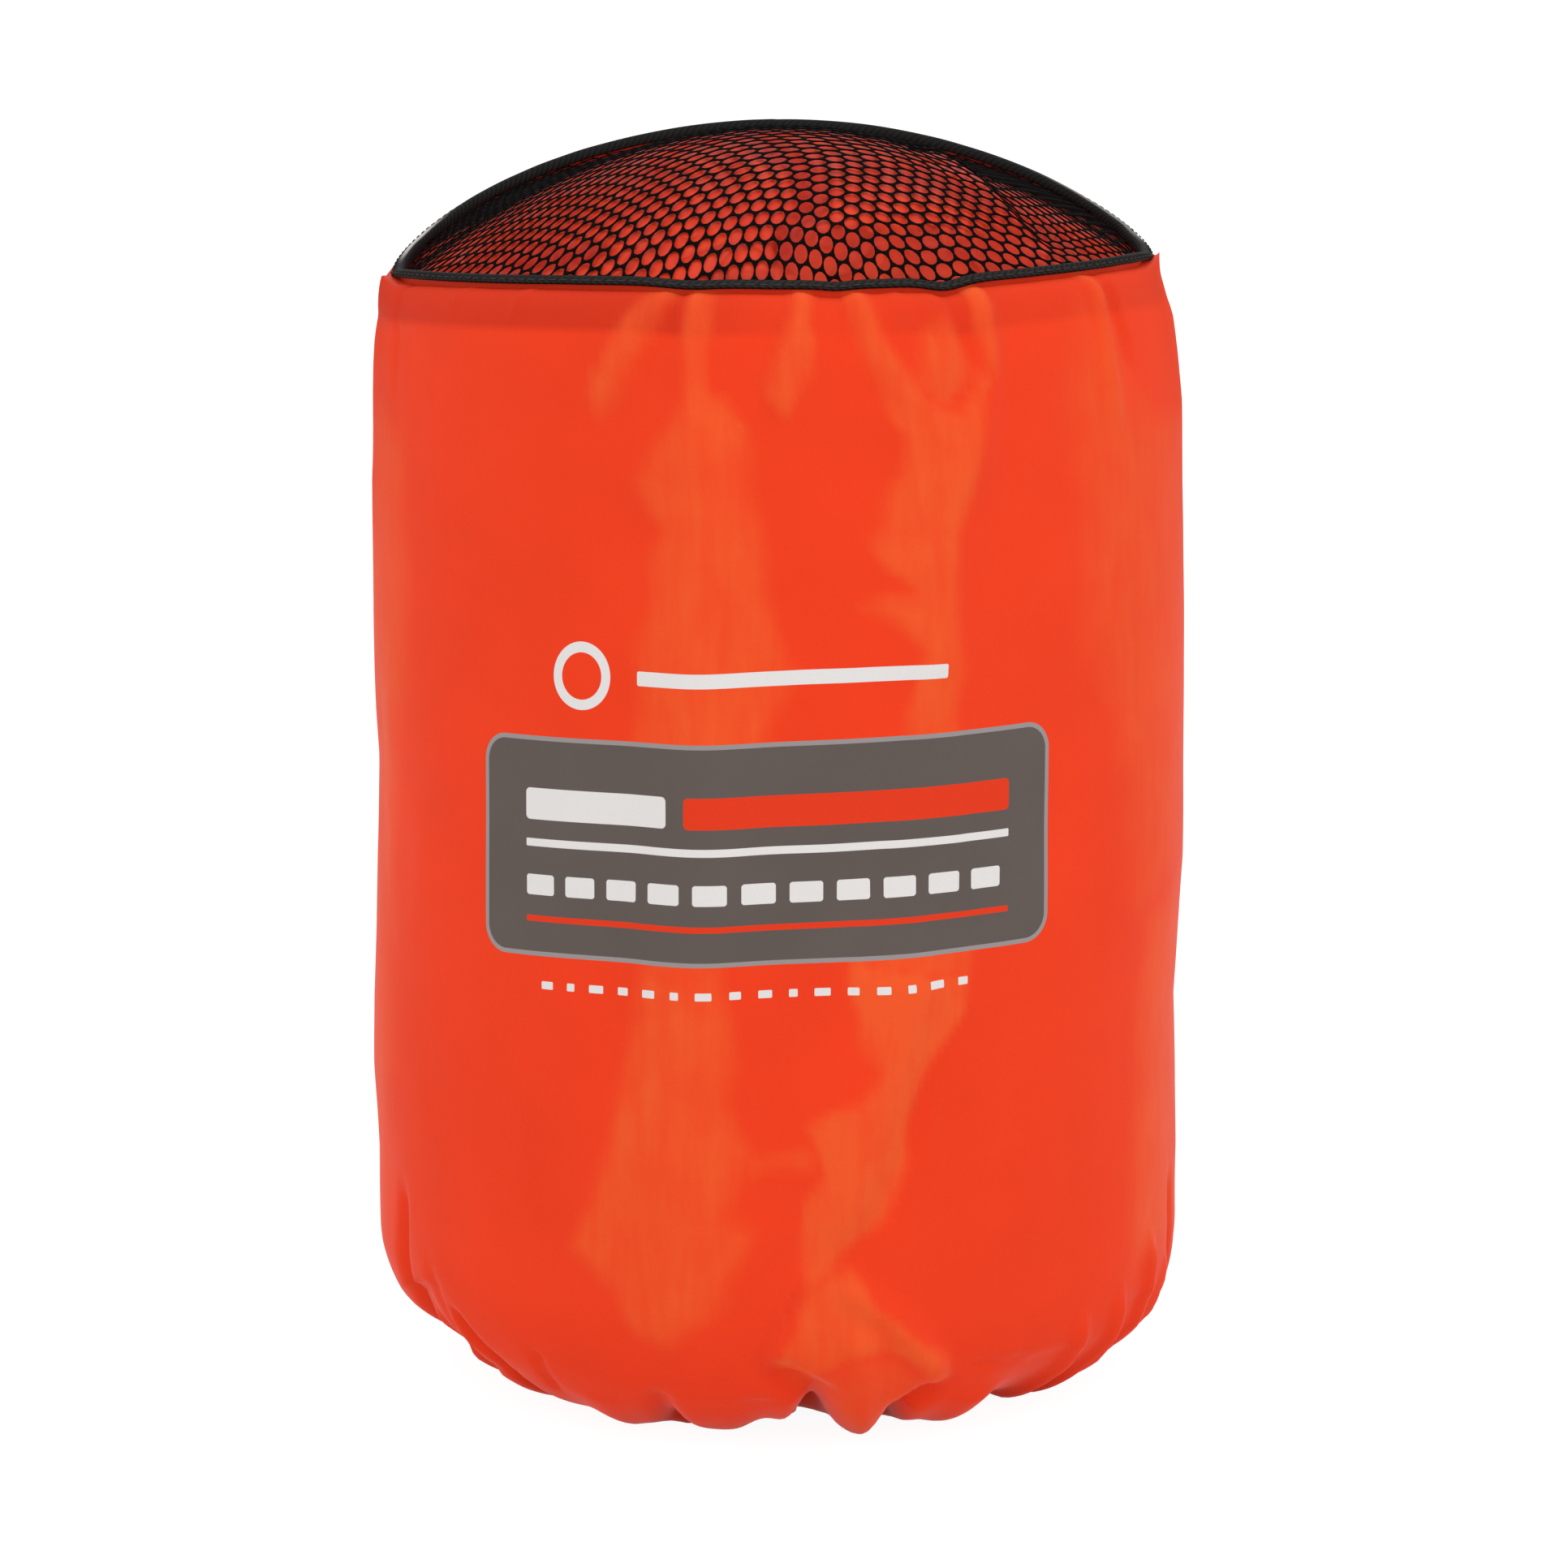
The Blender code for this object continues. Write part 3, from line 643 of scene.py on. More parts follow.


# %% [markdown]
# ## Folds
# The paths are placed from the photograph: across from the middle of the front, and up
# from the ground. The back, which the photograph doesn't show, gets folds of the same kind from
# a fixed seed.

# %% Folds
FRONT_FOLDS = [
    fold([(-15.9, 194), (-19.5, 188), (-23.6, 182), (-28.5, 174)], (1.6, 4.0), (0.8, 0.6)),
    fold([(-15.5, 194), (-16.2, 184)], (1.6, 1.8), (-0.9, -0.5)),
    fold([(-12.8, 194), (-13.4, 184), (-13.2, 160)], (1.7, 5.0), (0.8, 0.8)),
    fold([(-13.2, 176), (-12.0, 149), (-12.4, 120), (-13.2, 76), (-16.5, 50), (-18.8, 28), (-16.6, 10)],
         (8.0, 9.0), (1.5, 1.8)),
    fold([(5.3, 194), (3.0, 188.8), (1.0, 182), (-0.1, 178), (0.9, 172)], (1.5, 2.2), (0.9, 0.7), 0.3),
    fold([(8.4, 194), (8.8, 187)], (1.3, 1.4), (-0.7, -0.3)),
    fold([(11.0, 194), (12.8, 184)], (1.3, 1.6), (-0.7, -0.4)),
    fold([(13.8, 194), (15.4, 187), (17.8, 181), (21.4, 176.6), (27.0, 174)], (1.5, 2.2), (0.9, 0.8)),
    fold([(21.4, 194), (19.8, 185)], (1.1, 1.3), (0.5, 0.2)),
    fold([(28.4, 193), (27.6, 183), (24.8, 176)], (2.5, 4.0), (0.9, 0.9)),
    fold([(28.0, 194), (31.9, 187), (33.5, 181)], (1.3, 1.7), (-0.8, -0.5)),
    fold([(35.4, 194), (36.4, 184), (35.5, 176), (33.3, 168), (29.5, 157)], (1.4, 4.0), (1.0, 0.8)),
    fold([(26.5, 176), (26.5, 161), (25.0, 148), (25.0, 122)], (7.5, 7.5), (1.4, 0.9)),
    fold([(22.0, 84), (17.5, 66), (13.5, 54), (11.0, 45), (7.0, 34)], (7.0, 3.5), (1.5, 1.6), -0.25),
    fold([(27.0, 76), (24.5, 66), (21.8, 54), (17.0, 44), (10.0, 32)], (2.4, 1.8), (-0.5, -0.9)),
    fold([(-43.4, 194), (-45.6, 186)], (0.9, 1.1), (0.5, 0.2)),
    fold([(-57.1, 194), (-61.0, 186)], (0.9, 1.2), (0.3, 0.2)),
    fold([(-81.0, 190), (-81.0, 168)], (1.1, 1.3), (-0.6, -0.3)),
    fold([(65.0, 192), (67.5, 183), (70.5, 174)], (1.2, 1.7), (-0.8, -0.6)),
    fold([(60.5, 192), (62.5, 181), (64.5, 166)], (1.4, 2.4), (0.7, 0.5)),
]
BASE_FOLDS = [
    fold([(3.7, 33.6), (0.6, 27), (-0.8, 16)], (1.4, 1.8), (0.9, 1.6)),
    fold([(10.5, 31), (18.0, 25.4), (23.0, 20), (29.5, 10)], (2.2, 2.6), (1.2, 1.8)),
    fold([(12.9, 24), (15.5, 5), (17.4, -4), (17.4, -16)], (2.7, 2.7), (1.6, 0.4)),
    fold([(38.5, 8), (38.5, -16)], (5.0, 5.0), (1.3, 1.3)),
    fold([(-53.0, 6), (-52.0, -16)], (6.0, 6.0), (0.3, 0.3)),
    fold([(-65.0, 4), (-63.0, -16)], (5.0, 6.0), (0.9, 1.2)),
    fold([(-80.5, 19), (-74.0, 2)], (10.0, 6.0), (-1.6, -1.6)),
    fold([(80.0, 18), (78.0, 2)], (7.0, 7.0), (-0.6, -0.7)),
    fold([(-35.0, 8), (-35.0, -14)], (5.0, 5.0), (0.4, 0.8)),
    fold([(-2.5, 17), (6.6, 9.0), (7.2, -20)], (2.6, 5.2), (-1.6, -6.2)),
    fold([(-3.0, 10), (-3.0, -18)], (4.5, 5.0), (-0.7, -2.0)),
    fold([(50.0, 14), (50.0, -18)], (16.0, 16.0), (-0.8, -1.5)),
    fold([(29.0, 11), (23.0, 4.0), (24.0, -16)], (2.2, 3.2), (-1.2, -3.8)),
    fold([(-65.5, 18), (-59.0, 9.0), (-57, -8)], (1.3, 2.0), (-1.3, -1.4), 0.2),
    fold([(-44.7, 15), (-45.6, 3)], (1.1, 1.5), (-0.7, -0.6)),
    fold([(-22.0, 10), (-22.8, -12)], (2.2, 3.6), (-0.9, -2.8)),
    fold([(34.0, 14), (48.0, 13)], (1.1, 1.1), (-0.5, -0.4)),
]
BACK_SEED = 11


def back_folds():
    """Folds for the sides and back: short ones under the rim, long soft ones, short ones at the base."""
    pick = np.random.default_rng(BACK_SEED)
    found = []
    for place in np.arange(125, 302, 7.5):
        start, lean = place + pick.uniform(-3, 3), pick.uniform(-5, 5)
        reach, height = pick.uniform(14, 42), pick.choice([-1, 1, 1]) * pick.uniform(0.4, 1.0)
        path = [(start, 205), (start + lean * 0.3, 196 - reach * 0.4), (start + lean, 196 - reach)]
        found.append(fold(path, (1.5, pick.uniform(2, 4)), (height, height * 0.7)))
    for place in np.arange(135, 300, 34):
        start, top = place + pick.uniform(-8, 8), pick.uniform(110, 175)
        path = [(start, top), (start + pick.uniform(-10, 10), top - 55), (start + pick.uniform(-14, 14), 20)]
        found.append(fold(path, (7, 8), (1.3, 1.5)))
    for place in np.arange(60, 366, 9):
        start, lean = place + pick.uniform(-3, 3), pick.uniform(-6, 6)
        height = pick.choice([-1, 1]) * pick.uniform(0.8, 2.2)
        path = [(start + lean, pick.uniform(12, 42)), (start, 8), (start, -16)]
        found.append(fold(path, (1.5, 3.0), (height * 0.5, height)))
    return found


BACK_FOLDS = back_folds()
print(len(FRONT_FOLDS) + len(BASE_FOLDS), "folds in front,", len(BACK_FOLDS), "round the back")

# %% [markdown]
# ## Painted sheen areas
# The nylon is painted paler in areas, as a painted sheen where its folds catch the light. Each area is
# an outline in millimetres across and up, with its strength and the softness of its edge. Fixed noise
# makes the outlines uneven, and gives the back soft streaks of painted sheen of its own.

# %% Painted sheen areas
Area = namedtuple("Area", "edge strength soft")
SHEEN_AREAS = [
    Area([(-19, 194), (-15, 193), (-19, 188), (-22, 181), (-25, 177), (-29, 172), (-30, 176), (-27, 181),
          (-24, 187)], 0.75, 0.8),
    Area([(-13, 196), (-10, 196), (-10, 188), (-11, 183), (-10, 177), (-4, 170), (-14, 171), (-14, 185)],
         0.7, 0.7),
    Area([(-14, 176), (-7, 175), (-5, 168), (-5, 160), (-2, 152), (-2, 141), (1, 134), (-3, 115), (-9, 84),
          (-23, 84), (-23, 114), (-22, 125), (-23, 135), (-20, 146), (-19, 153), (-22, 157), (-23, 163),
          (-20, 169)], 0.75, 1.6),
    Area([(-23, 84), (-9, 84), (-8, 70), (-8, 56), (-6, 51), (-9, 45), (-5, 41), (-7, 36), (-9, 29),
          (-12, 25), (-15, 22), (-18, 19), (-23, 21), (-26, 27), (-31, 31), (-36, 33), (-30, 41), (-28, 55),
          (-25, 69)], 0.75, 1.6),
    Area([(-26, 27), (-31, 31), (-28, 35), (-23, 33), (-20, 27), (-17, 19), (-21, 20)], 0.5, 1.5),
    Area([(5, 196), (7, 196), (6, 188), (7, 186), (5, 181), (3, 177), (1, 173), (-1, 178), (1, 183),
          (3, 188)], 0.8, 0.7),
    Area([(13, 196), (15, 196), (17, 188), (19, 181), (23, 176), (27, 174), (25, 169), (20, 170), (17, 176),
          (15, 184)], 0.8, 0.8),
    Area([(25, 186), (28, 188), (31, 183), (32, 179), (28, 174), (23, 176), (22, 180)], 0.8, 0.9),
    Area([(34, 196), (37, 196), (38, 189), (36, 183), (35, 174), (33, 168), (31, 161), (26, 161), (28, 169),
          (33, 177), (34, 184)], 0.85, 0.8),
    Area([(21, 175), (32, 172), (31, 161), (29, 153), (30, 145), (30, 128), (31, 114), (32, 83), (12, 84),
          (21, 114), (21, 125), (23, 135), (15, 140), (13, 142), (22, 144), (17, 149), (14, 153), (16, 158),
          (20, 163)], 0.85, 1.2),
    Area([(12, 84), (32, 83), (29, 76), (25, 69), (22, 59), (21, 53), (18, 45), (12, 36), (9, 32), (5, 30),
          (5, 43), (6, 49), (4, 56), (11, 60), (16, 65), (13, 73)], 1.1, 0.9),
    Area([(5, 30), (11, 32), (17, 27), (23, 21), (31, 12), (29, 10), (20, 17), (13, 20), (7, 16), (-1, 16),
          (1, 22), (3, 28)], 0.9, 0.9),
    Area([(0, 14), (7, 15), (13, 19), (20, 16), (28, 9), (23, 4), (17, -3), (14, -3), (9, 4)], 0.45, 1.2),
    Area([(-7, 50), (5, 53), (4, 49), (-6, 47)], 0.5, 0.8),
    Area([(-79, 165), (-77, 142), (-77, 122), (-82, 110), (-84, 75), (-86, 40), (-92, 26), (-140, 26),
          (-140, 165)], 0.55, 4.0),
    Area([(56, 187), (64, 184), (69, 170), (83, 165), (140, 165), (140, 89), (71, 89), (65, 117), (57, 137),
          (55, 159), (53, 175)], 0.5, 4.0),
    Area([(59, 194), (62, 194), (65, 181), (69, 168), (72, 156), (66, 158), (62, 168), (60, 180)], 0.6, 1.2),
    Area([(74, 84), (140, 84), (140, 20), (72, 24), (69, 41), (73, 53)], 0.6, 3.5),
]
EDGE_WANDER = (1.6 * MM, 2.5 * MM)
FRONT_END, BACK_START = 76 * MM, 34 * MM
# Strength of the painted sheen's streaks round the back.
BACK_SHEEN = 0.75


def inside_area(item, across, up):
    """1 inside an area's edge and 0 outside, with a soft edge."""
    edge = np.array(item.edge + item.edge[:1]) * MM
    nearest, _, _ = from_path(edge, across, up)
    inside = np.zeros(across.shape, dtype=bool)
    for (xa, ya), (xb, yb) in zip(edge, edge[1:]):
        if ya != yb:
            inside ^= ((ya > up) != (yb > up)) & (across < xa + (up - ya) / (yb - ya) * (xb - xa))
    return smooth(np.where(inside, nearest, -nearest) / (3 * item.soft * MM) + 0.5)


def shares_of(across, up):
    """The share of the way round the sack, and of the way up it."""
    return (across / ROUND_LENGTH) % 1.0, np.clip(up / RIM_LEVEL, 0, 1)


def sheen_share(across, up):
    """How strongly the painted sheen makes the cloth paler at a place."""
    place, level = shares_of(across, up)
    aside = across + EDGE_WANDER[0] * soft_noise(place, level, 45, 70, 30)
    higher = up + EDGE_WANDER[1] * soft_noise(place, level, 46, 48, 22)
    share = np.zeros(across.shape)
    for item in SHEEN_AREAS:
        share = np.maximum(share, item.strength * inside_area(item, aside, higher))
    behind = smooth((abs(round_gap(across)) - FRONT_END) / BACK_START)
    streaks = smooth(soft_noise(place, level, 43, 22, 3) * 0.9 + soft_noise(place, level, 44, 54, 7) * 0.5)
    share = share * (1 - behind) + BACK_SHEEN * behind * streaks
    grain = 0.5 + 0.5 * soft_noise(place, level, 41, 90, 40)
    return share * (0.82 + 0.18 * grain)


print(len(SHEEN_AREAS), "taut areas in front")

# %% [markdown]
# ## Height of the cloth
# The cloth's height over its plain round shape is the sum of the folds, soft waves, a small rise
# under the painted sheen areas, the dip of the back seam, and the bulge of the sides.

# %% Height of the cloth
QUARTER = ROUND_LENGTH / 4
SHEEN_AREA_RISE = 0.35 * MM
SEAM_DIP, SEAM_DIP_WIDTH = 0.5 * MM, 0.6 * MM
Bulge = namedtuple("Bulge", "up left right")
BULGES = [
    Bulge(-14, -2.6, -1.2), Bulge(3, -3.4, -1.6), Bulge(12, 0.0, 0.9), Bulge(22, 0.6, 0.0),
    Bulge(38, 0.5, 0.0), Bulge(52, 1.0, -0.5), Bulge(64, 0.9, -1.0), Bulge(76, 0.5, -0.4),
    Bulge(88, 0.2, 0.3), Bulge(105, -0.4, 0.1), Bulge(130, 0.1, 0.0), Bulge(152, 0.4, -0.3),
    Bulge(166, -0.4, -0.2), Bulge(173, -0.9, -0.6), Bulge(180, -1.7, -1.2), Bulge(186, -0.6, -2.4),
    Bulge(194, 0, 0),
]


def side_bulge(across, up):
    """How far the sides stand out or in at each height, fading towards the front and back."""
    heights, left, right = np.array(BULGES).T * MM
    found = 0
    for place, values in ((-QUARTER, left), (QUARTER, right)):
        near = smooth(1 - abs(round_gap(across - place)) / (0.8 * QUARTER))
        found = found + np.interp(up, heights, values) * near
    return found


def cloth_height(across, up):
    """Height of the sack's cloth over its plain round shape."""
    height = folds_height(FRONT_FOLDS + BASE_FOLDS, across, up)
    height += folds_height(BACK_FOLDS, across % ROUND_LENGTH, up)
    place, level = shares_of(across, up)
    height += 0.35 * MM * soft_noise(place, level, 5, 14, 6)
    height += 0.10 * MM * soft_noise(place, level, 6, 60, 18)
    # A small rise under the areas of painted sheen.
    height += SHEEN_AREA_RISE * sheen_share(across, up)
    height -= SEAM_DIP * hump(abs(across) - ROUND_LENGTH / 2, SEAM_DIP_WIDTH) * (up > 0)
    return height + side_bulge(across, up)


# %% [markdown]
# ## The side of the sack
# One closed cloth: the outer face carries the folds and the print. Its top edge stands up inside
# the tape, so the folds fade out there. The band of the turned hem is a point value that the
# material reads. It is hidden by folds in the middle, and fades to the right.

# %% The side of the sack
SIDE_COLUMNS = 400
SIDE_ROWS = 108
CLOTH = 0.45 * MM
LIP_FADE = 3.0 * MM
HEM_BAND = 8.0 * MM
BAND_GAP, BAND_GAP_MIDDLE, BAND_GAP_HALF = 0.85, 10 * MM, 38 * MM
BAND_FADE, BAND_FADE_START, BAND_FADE_LENGTH, BAND_FADE_END = 0.6, 20 * MM, 25 * MM, 130 * MM
Ear = namedtuple("Ear", "angle width rise out")
EARS = [Ear(math.radians(87), 0.15, 5.6 * MM, -0.3 * MM), Ear(math.radians(-85), 0.14, 3.0 * MM, 0.1 * MM)]
EAR_DEPTH = 7 * MM
EAR_ROOT, EAR_START = 0.5 * MM, 1.8 * MM


def side_grid():
    """The side's profile, angles, places on the cloth, depth below the lip, and the folds over them."""
    profile = side_profile(SIDE_ROWS)
    angle = round_angles(SIDE_COLUMNS)
    up = heights_of(profile, angle)
    across = np.broadcast_to(angle * SIDE_RADIUS, up.shape)
    below = RIM_LEVEL + rim_rise(angle) - up
    out = cloth_height(across, up) * smooth(below / LIP_FADE) - 0.1 * MM
    return profile, angle, up, across, below, out


SIDE_GRID = side_grid()


def with_ears(points, angle, below):
    """Puckers the cloth up and out in front of the tape at both ends of its front run."""
    for ear in EARS:
        share = hump(angle - ear.angle, ear.width) * smooth(1 - below / EAR_DEPTH)
        share = share * smooth((below - EAR_ROOT) / EAR_START)
        points += share[..., None] * at(ear.out, angle, ear.rise)
    return points


def make_side():
    profile, angle, up, across, below, out = SIDE_GRID
    outer, inner = (with_ears(placed(profile, angle, height), angle, below) for height in (out, out - CLOTH))
    band = smooth((HEM_BAND - below) / (0.5 * MM)) * smooth(below / (1.5 * MM))
    band = band * (1 - BAND_GAP * smooth(1 - abs(across - BAND_GAP_MIDDLE) / BAND_GAP_HALF))
    fading = smooth((across - BAND_FADE_START) / BAND_FADE_LENGTH) * (across < BAND_FADE_END)
    # The second point value is where a painted sheen makes the cloth paler.
    return shell("sack_side", outer, inner, SACK_CLOTH, angle * SIDE_RADIUS, profile.level, True,
                 {"turned_hem": band * (1 - BAND_FADE * fading), "taut": sheen_share(across, up)})


sack_side = make_side()
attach(sack_side, "sack")
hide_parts("sack_tube")
print("sack side:", len(sack_side.data.polygons), "faces")

# %% [markdown]
# ## Profile of the base
# Below the side the same cloth turns under and is drawn in to a small mouth. Its profile goes
# round the corner, in over the ground, up the dish, and once round the cord as a hem.

# %% Profile of the base
DISH_RADIUS = 30 * MM
HEM_RADIUS = MOUTH_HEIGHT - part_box("hem_channel")[0].z
CHANNEL_SIDE = MOUTH_RADIUS + HEM_RADIUS + CLEARANCE
DISH_RISE = MOUTH_HEIGHT - HEM_RADIUS + 0.9 * MM


def lengths_along(*parts):
    """How far along a path each of its points is, from the points' coordinates."""
    return np.append(0, np.cumsum(np.hypot(*(np.diff(part) for part in parts))))


def base_profile():
    """The cloth from the foot of the side, round the corner, and in to the hem round the cord."""
    turn = math.pi / 2 * np.linspace(0, 1, 33) ** 1.25
    inward = np.linspace(0, 1, 12)[1:]
    loop = np.radians(np.linspace(-35, -340, 22))
    radius = np.concatenate([
        CORNER_CENTRE + BASE_CORNER * np.cos(turn), np.linspace(CORNER_CENTRE, DISH_RADIUS, 9)[1:],
        DISH_RADIUS + (CHANNEL_SIDE - DISH_RADIUS) * inward, MOUTH_RADIUS + HEM_RADIUS * np.cos(loop),
        [CHANNEL_SIDE + 0.8 * MM, CHANNEL_SIDE + 2.4 * MM]])
    level = np.concatenate([
        BASE_CORNER - BASE_CORNER * np.sin(turn), np.zeros(8), DISH_RISE * smooth(inward),
        MOUTH_HEIGHT + HEM_RADIUS * np.sin(loop), [DISH_RISE + 1.1 * MM, DISH_RISE + 0.8 * MM]])
    return with_normals(radius, level, BASE_CORNER - lengths_along(radius, level))


# %% [markdown]
# ## Pleats of the mouth
# The cloth is about five times too wide at the mouth, so it falls into pleats that lean over
# each other. Each pleat is a wave in height. Moving the cloth sideways by an amount that follows
# the wave makes it lean, and such a sheared wave can't cut through itself.

# %% Pleats of the mouth
PLEATS = 34
PLEAT_HEIGHT = 1.15 * MM
PLEAT_LEAN = 2.1
PLEAT_START = -2 * MM
PLEAT_FULL = -32 * MM
BASE_CLOTH = 0.25 * MM
GROUND = 0.02 * MM


def pleat_wave(angle, down):
    """Irregular pleats from -1 to 1: a wave whose pace and strength change round the mouth."""
    share, level = np.broadcast_arrays(angle[None, :] / (2 * math.pi) % 1.0,
                                       np.clip((BASE_CORNER - down) / (90 * MM), 0, 1)[:, None])
    pace = PLEATS * share * 2 * math.pi + 1.5 * soft_noise(share, level, 21, 9, 3)
    finer = 0.35 * np.sin(2.3 * pace + 2.0 * soft_noise(share, level, 22, 12, 3))
    strength = 0.75 + 0.25 * soft_noise(share, level, 23, 17, 3)
    return (np.sin(pace) + finer * 0.6) * strength


def base_points(profile, angle, out, turn=0):
    """Points of the base, moved out along the profile's normals and turned sideways."""
    radius = profile.radius[:, None] + out * profile.out_across[:, None]
    height = profile.level[:, None] + out * profile.out_up[:, None]
    return at(radius, angle + turn, height)


def grid_normals(points):
    """Outward normals of a grid that runs down and round."""
    normal = np.cross(np.gradient(points, axis=0), np.roll(points, -1, axis=1) - np.roll(points, 1, axis=1))
    return normal / np.maximum(np.linalg.norm(normal, axis=-1, keepdims=True), 1e-12)


def base_grid():
    """The base's profile, angles, places on the cloth, outer and inner points, and outer normals."""
    profile, angle = base_profile(), round_angles(SIDE_COLUMNS)
    drawn_in = smooth((PLEAT_START - profile.down) / (PLEAT_START - PLEAT_FULL))[:, None]
    in_hem = smooth((CHANNEL_SIDE + 3 * MM - profile.radius) / (4 * MM))[:, None]
    across, up = np.broadcast_arrays(angle * SIDE_RADIUS, profile.down[:, None])
    folds = cloth_height(across, up) * smooth((up + 34 * MM) / (12 * MM))
    pleats = pleat_wave(angle, profile.down)
    height = PLEAT_HEIGHT * drawn_in * (1 - 0.65 * in_hem)
    out = folds * (1 - 0.5 * drawn_in) + height * (pleats - 1.1)
    turn = PLEAT_LEAN * (1 - in_hem) * height * pleats / np.maximum(profile.radius, 9 * MM)[:, None]
    outer = base_points(profile, angle, out - 0.1 * MM, turn)
    normal = grid_normals(outer)
    inner = outer - BASE_CLOTH * normal
    for points in (outer, inner):
        points[..., 2] = np.maximum(points[..., 2], GROUND)
    return profile, angle, across, up, outer, inner, normal


BASE_GRID = base_grid()


def make_base():
    profile, angle, across, up, outer, inner, _ = BASE_GRID
    # The point value is where a painted sheen makes the cloth paler.
    return shell("sack_base", outer, inner, SACK_CLOTH, angle * SIDE_RADIUS, profile.down, True,
                 {"taut": sheen_share(across, up)})


sack_base = make_base()
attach(sack_base, "sack")
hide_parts("mouth_gathers", "hem_channel")
print("sack base:", len(sack_base.data.polygons), "faces")

# %% [markdown]
# ## Net dome
# The net follows the dome of its solid. Heights at rings and even angles are read from the
# frame, and smooth curves run between them.

# %% Net dome
NET_STEPS = 8
DOME = np.array([np.full(ROUND_COUNT, round_table("mesh_end", 0, 0.05 * MM).max())]
                + [round_table("mesh_end", NET_RADIUS * ring / NET_STEPS, 0.1 * MM)
                   for ring in range(1, NET_STEPS + 1)])
print("net dome from", DOME.min() * 1000, "to", DOME.max() * 1000)


def dome_level(x, y):
    """Height of the net's top over a place."""
    ring = np.clip(np.hypot(x, y) / NET_RADIUS, 0, 1) * NET_STEPS
    first = np.clip(np.floor(ring).astype(int), 0, NET_STEPS - 1)
    place = np.arctan2(x, -y) / (2 * math.pi) * ROUND_COUNT
    rows = [cubic(DOME, np.clip(first + k, 0, NET_STEPS), place) for k in (-1, 0, 1, 2)]
    opposite = cubic(DOME, np.ones_like(first), place + ROUND_COUNT / 2)
    rows[0] = np.where(first == 0, opposite, rows[0])
    rows[3] = np.where(first == NET_STEPS - 1, 2 * rows[2] - rows[1], rows[3])
    return between(*rows, ring - first)


# %% [markdown]
# ## Geometry Nodes helpers
# A tree takes named inputs and gives one geometry. Its result is kept as plain mesh.

# %% Geometry Nodes helpers
def new_tree(name, **inputs):
    """A Geometry Nodes tree, the outputs that hand its inputs on, and its last node."""
    tree = bpy.data.node_groups.new(name, "GeometryNodeTree")
    for key, kind in {"Geometry": "Geometry", **inputs}.items():
        tree.interface.new_socket(key, in_out="INPUT", socket_type="NodeSocket" + kind)
    tree.interface.new_socket("Geometry", in_out="OUTPUT", socket_type="NodeSocketGeometry")
    return tree, node(tree, "NodeGroupInput").outputs, node(tree, "NodeGroupOutput")


def first_of(tree, kind, *values, **named):
    """The first output of a node."""
    return node(tree, kind, None, *values, **named).outputs[0]


def applied(made):
    """Turns an object's modifiers into plain mesh."""
    bpy.context.view_layer.update()
    evaluated = made.evaluated_get(bpy.context.evaluated_depsgraph_get())
    mesh = bpy.data.meshes.new_from_object(evaluated)
    made.modifiers.clear()
    made.data = mesh
    mesh.shade_smooth()
    return made


def grown(name, tree, start, **inputs):
    """Runs a tree on a start mesh and keeps the result as a plain mesh object."""
    made = new_object(name, start)
    modifier = made.modifiers.new(name, "NODES")
    modifier.node_group = tree
    for item in tree.interface.items_tree:
        if item.name in inputs:
            modifier[item.identifier] = inputs[item.name]
    return applied(made)


# %% [markdown]
# ## Net lattice
# The net is knitted polyester with round holes in staggered rows. Geometry Nodes lays one small
# ring of mesh per hole, and merging their edges joins them into one sheet.

# %% Net lattice in Geometry Nodes
HOLE_PITCH = 3.12 * MM
HOLE_RADIUS = 1.41 * MM
HOLE_SIDES = 12
LATTICE_TURN = math.radians(2)
NET_THICKNESS = 0.20 * MM
NET_BLACK = (0.003, 0.003, 0.003)


def net_material():
    made, tree, shader = new_material("black_net", NET_BLACK, 0.8, Specular_IOR_Level=0.03)
    place = object_place(tree)
    colour = mixed(tree, noise(tree, place, 300.0), (0.0015, 0.0015, 0.0015), (0.006, 0.005, 0.005))
    surfaced(tree, shader, colour, (noise(tree, place, 2600.0), 0.06 * MM))
    return made


NET_THREAD = net_material()


def net_cell():
    """One hole with the web round it, as a ring of faces inside a hexagon."""
    turn = np.arange(HOLE_SIDES) * 2 * math.pi / HOLE_SIDES
    reach = np.where(np.arange(HOLE_SIDES) % 2 == 0, HOLE_PITCH / 2, HOLE_PITCH / math.sqrt(3))
    rings = [np.stack([r * np.cos(turn), r * np.sin(turn), 0 * turn], axis=1) for r in (reach, HOLE_RADIUS)]
    faces = [(i, (i + 1) % HOLE_SIDES, HOLE_SIDES + (i + 1) % HOLE_SIDES, HOLE_SIDES + i)
             for i in range(HOLE_SIDES)]
    return add_object("net_cell", np.concatenate(rings), np.array(faces), NET_THREAD)


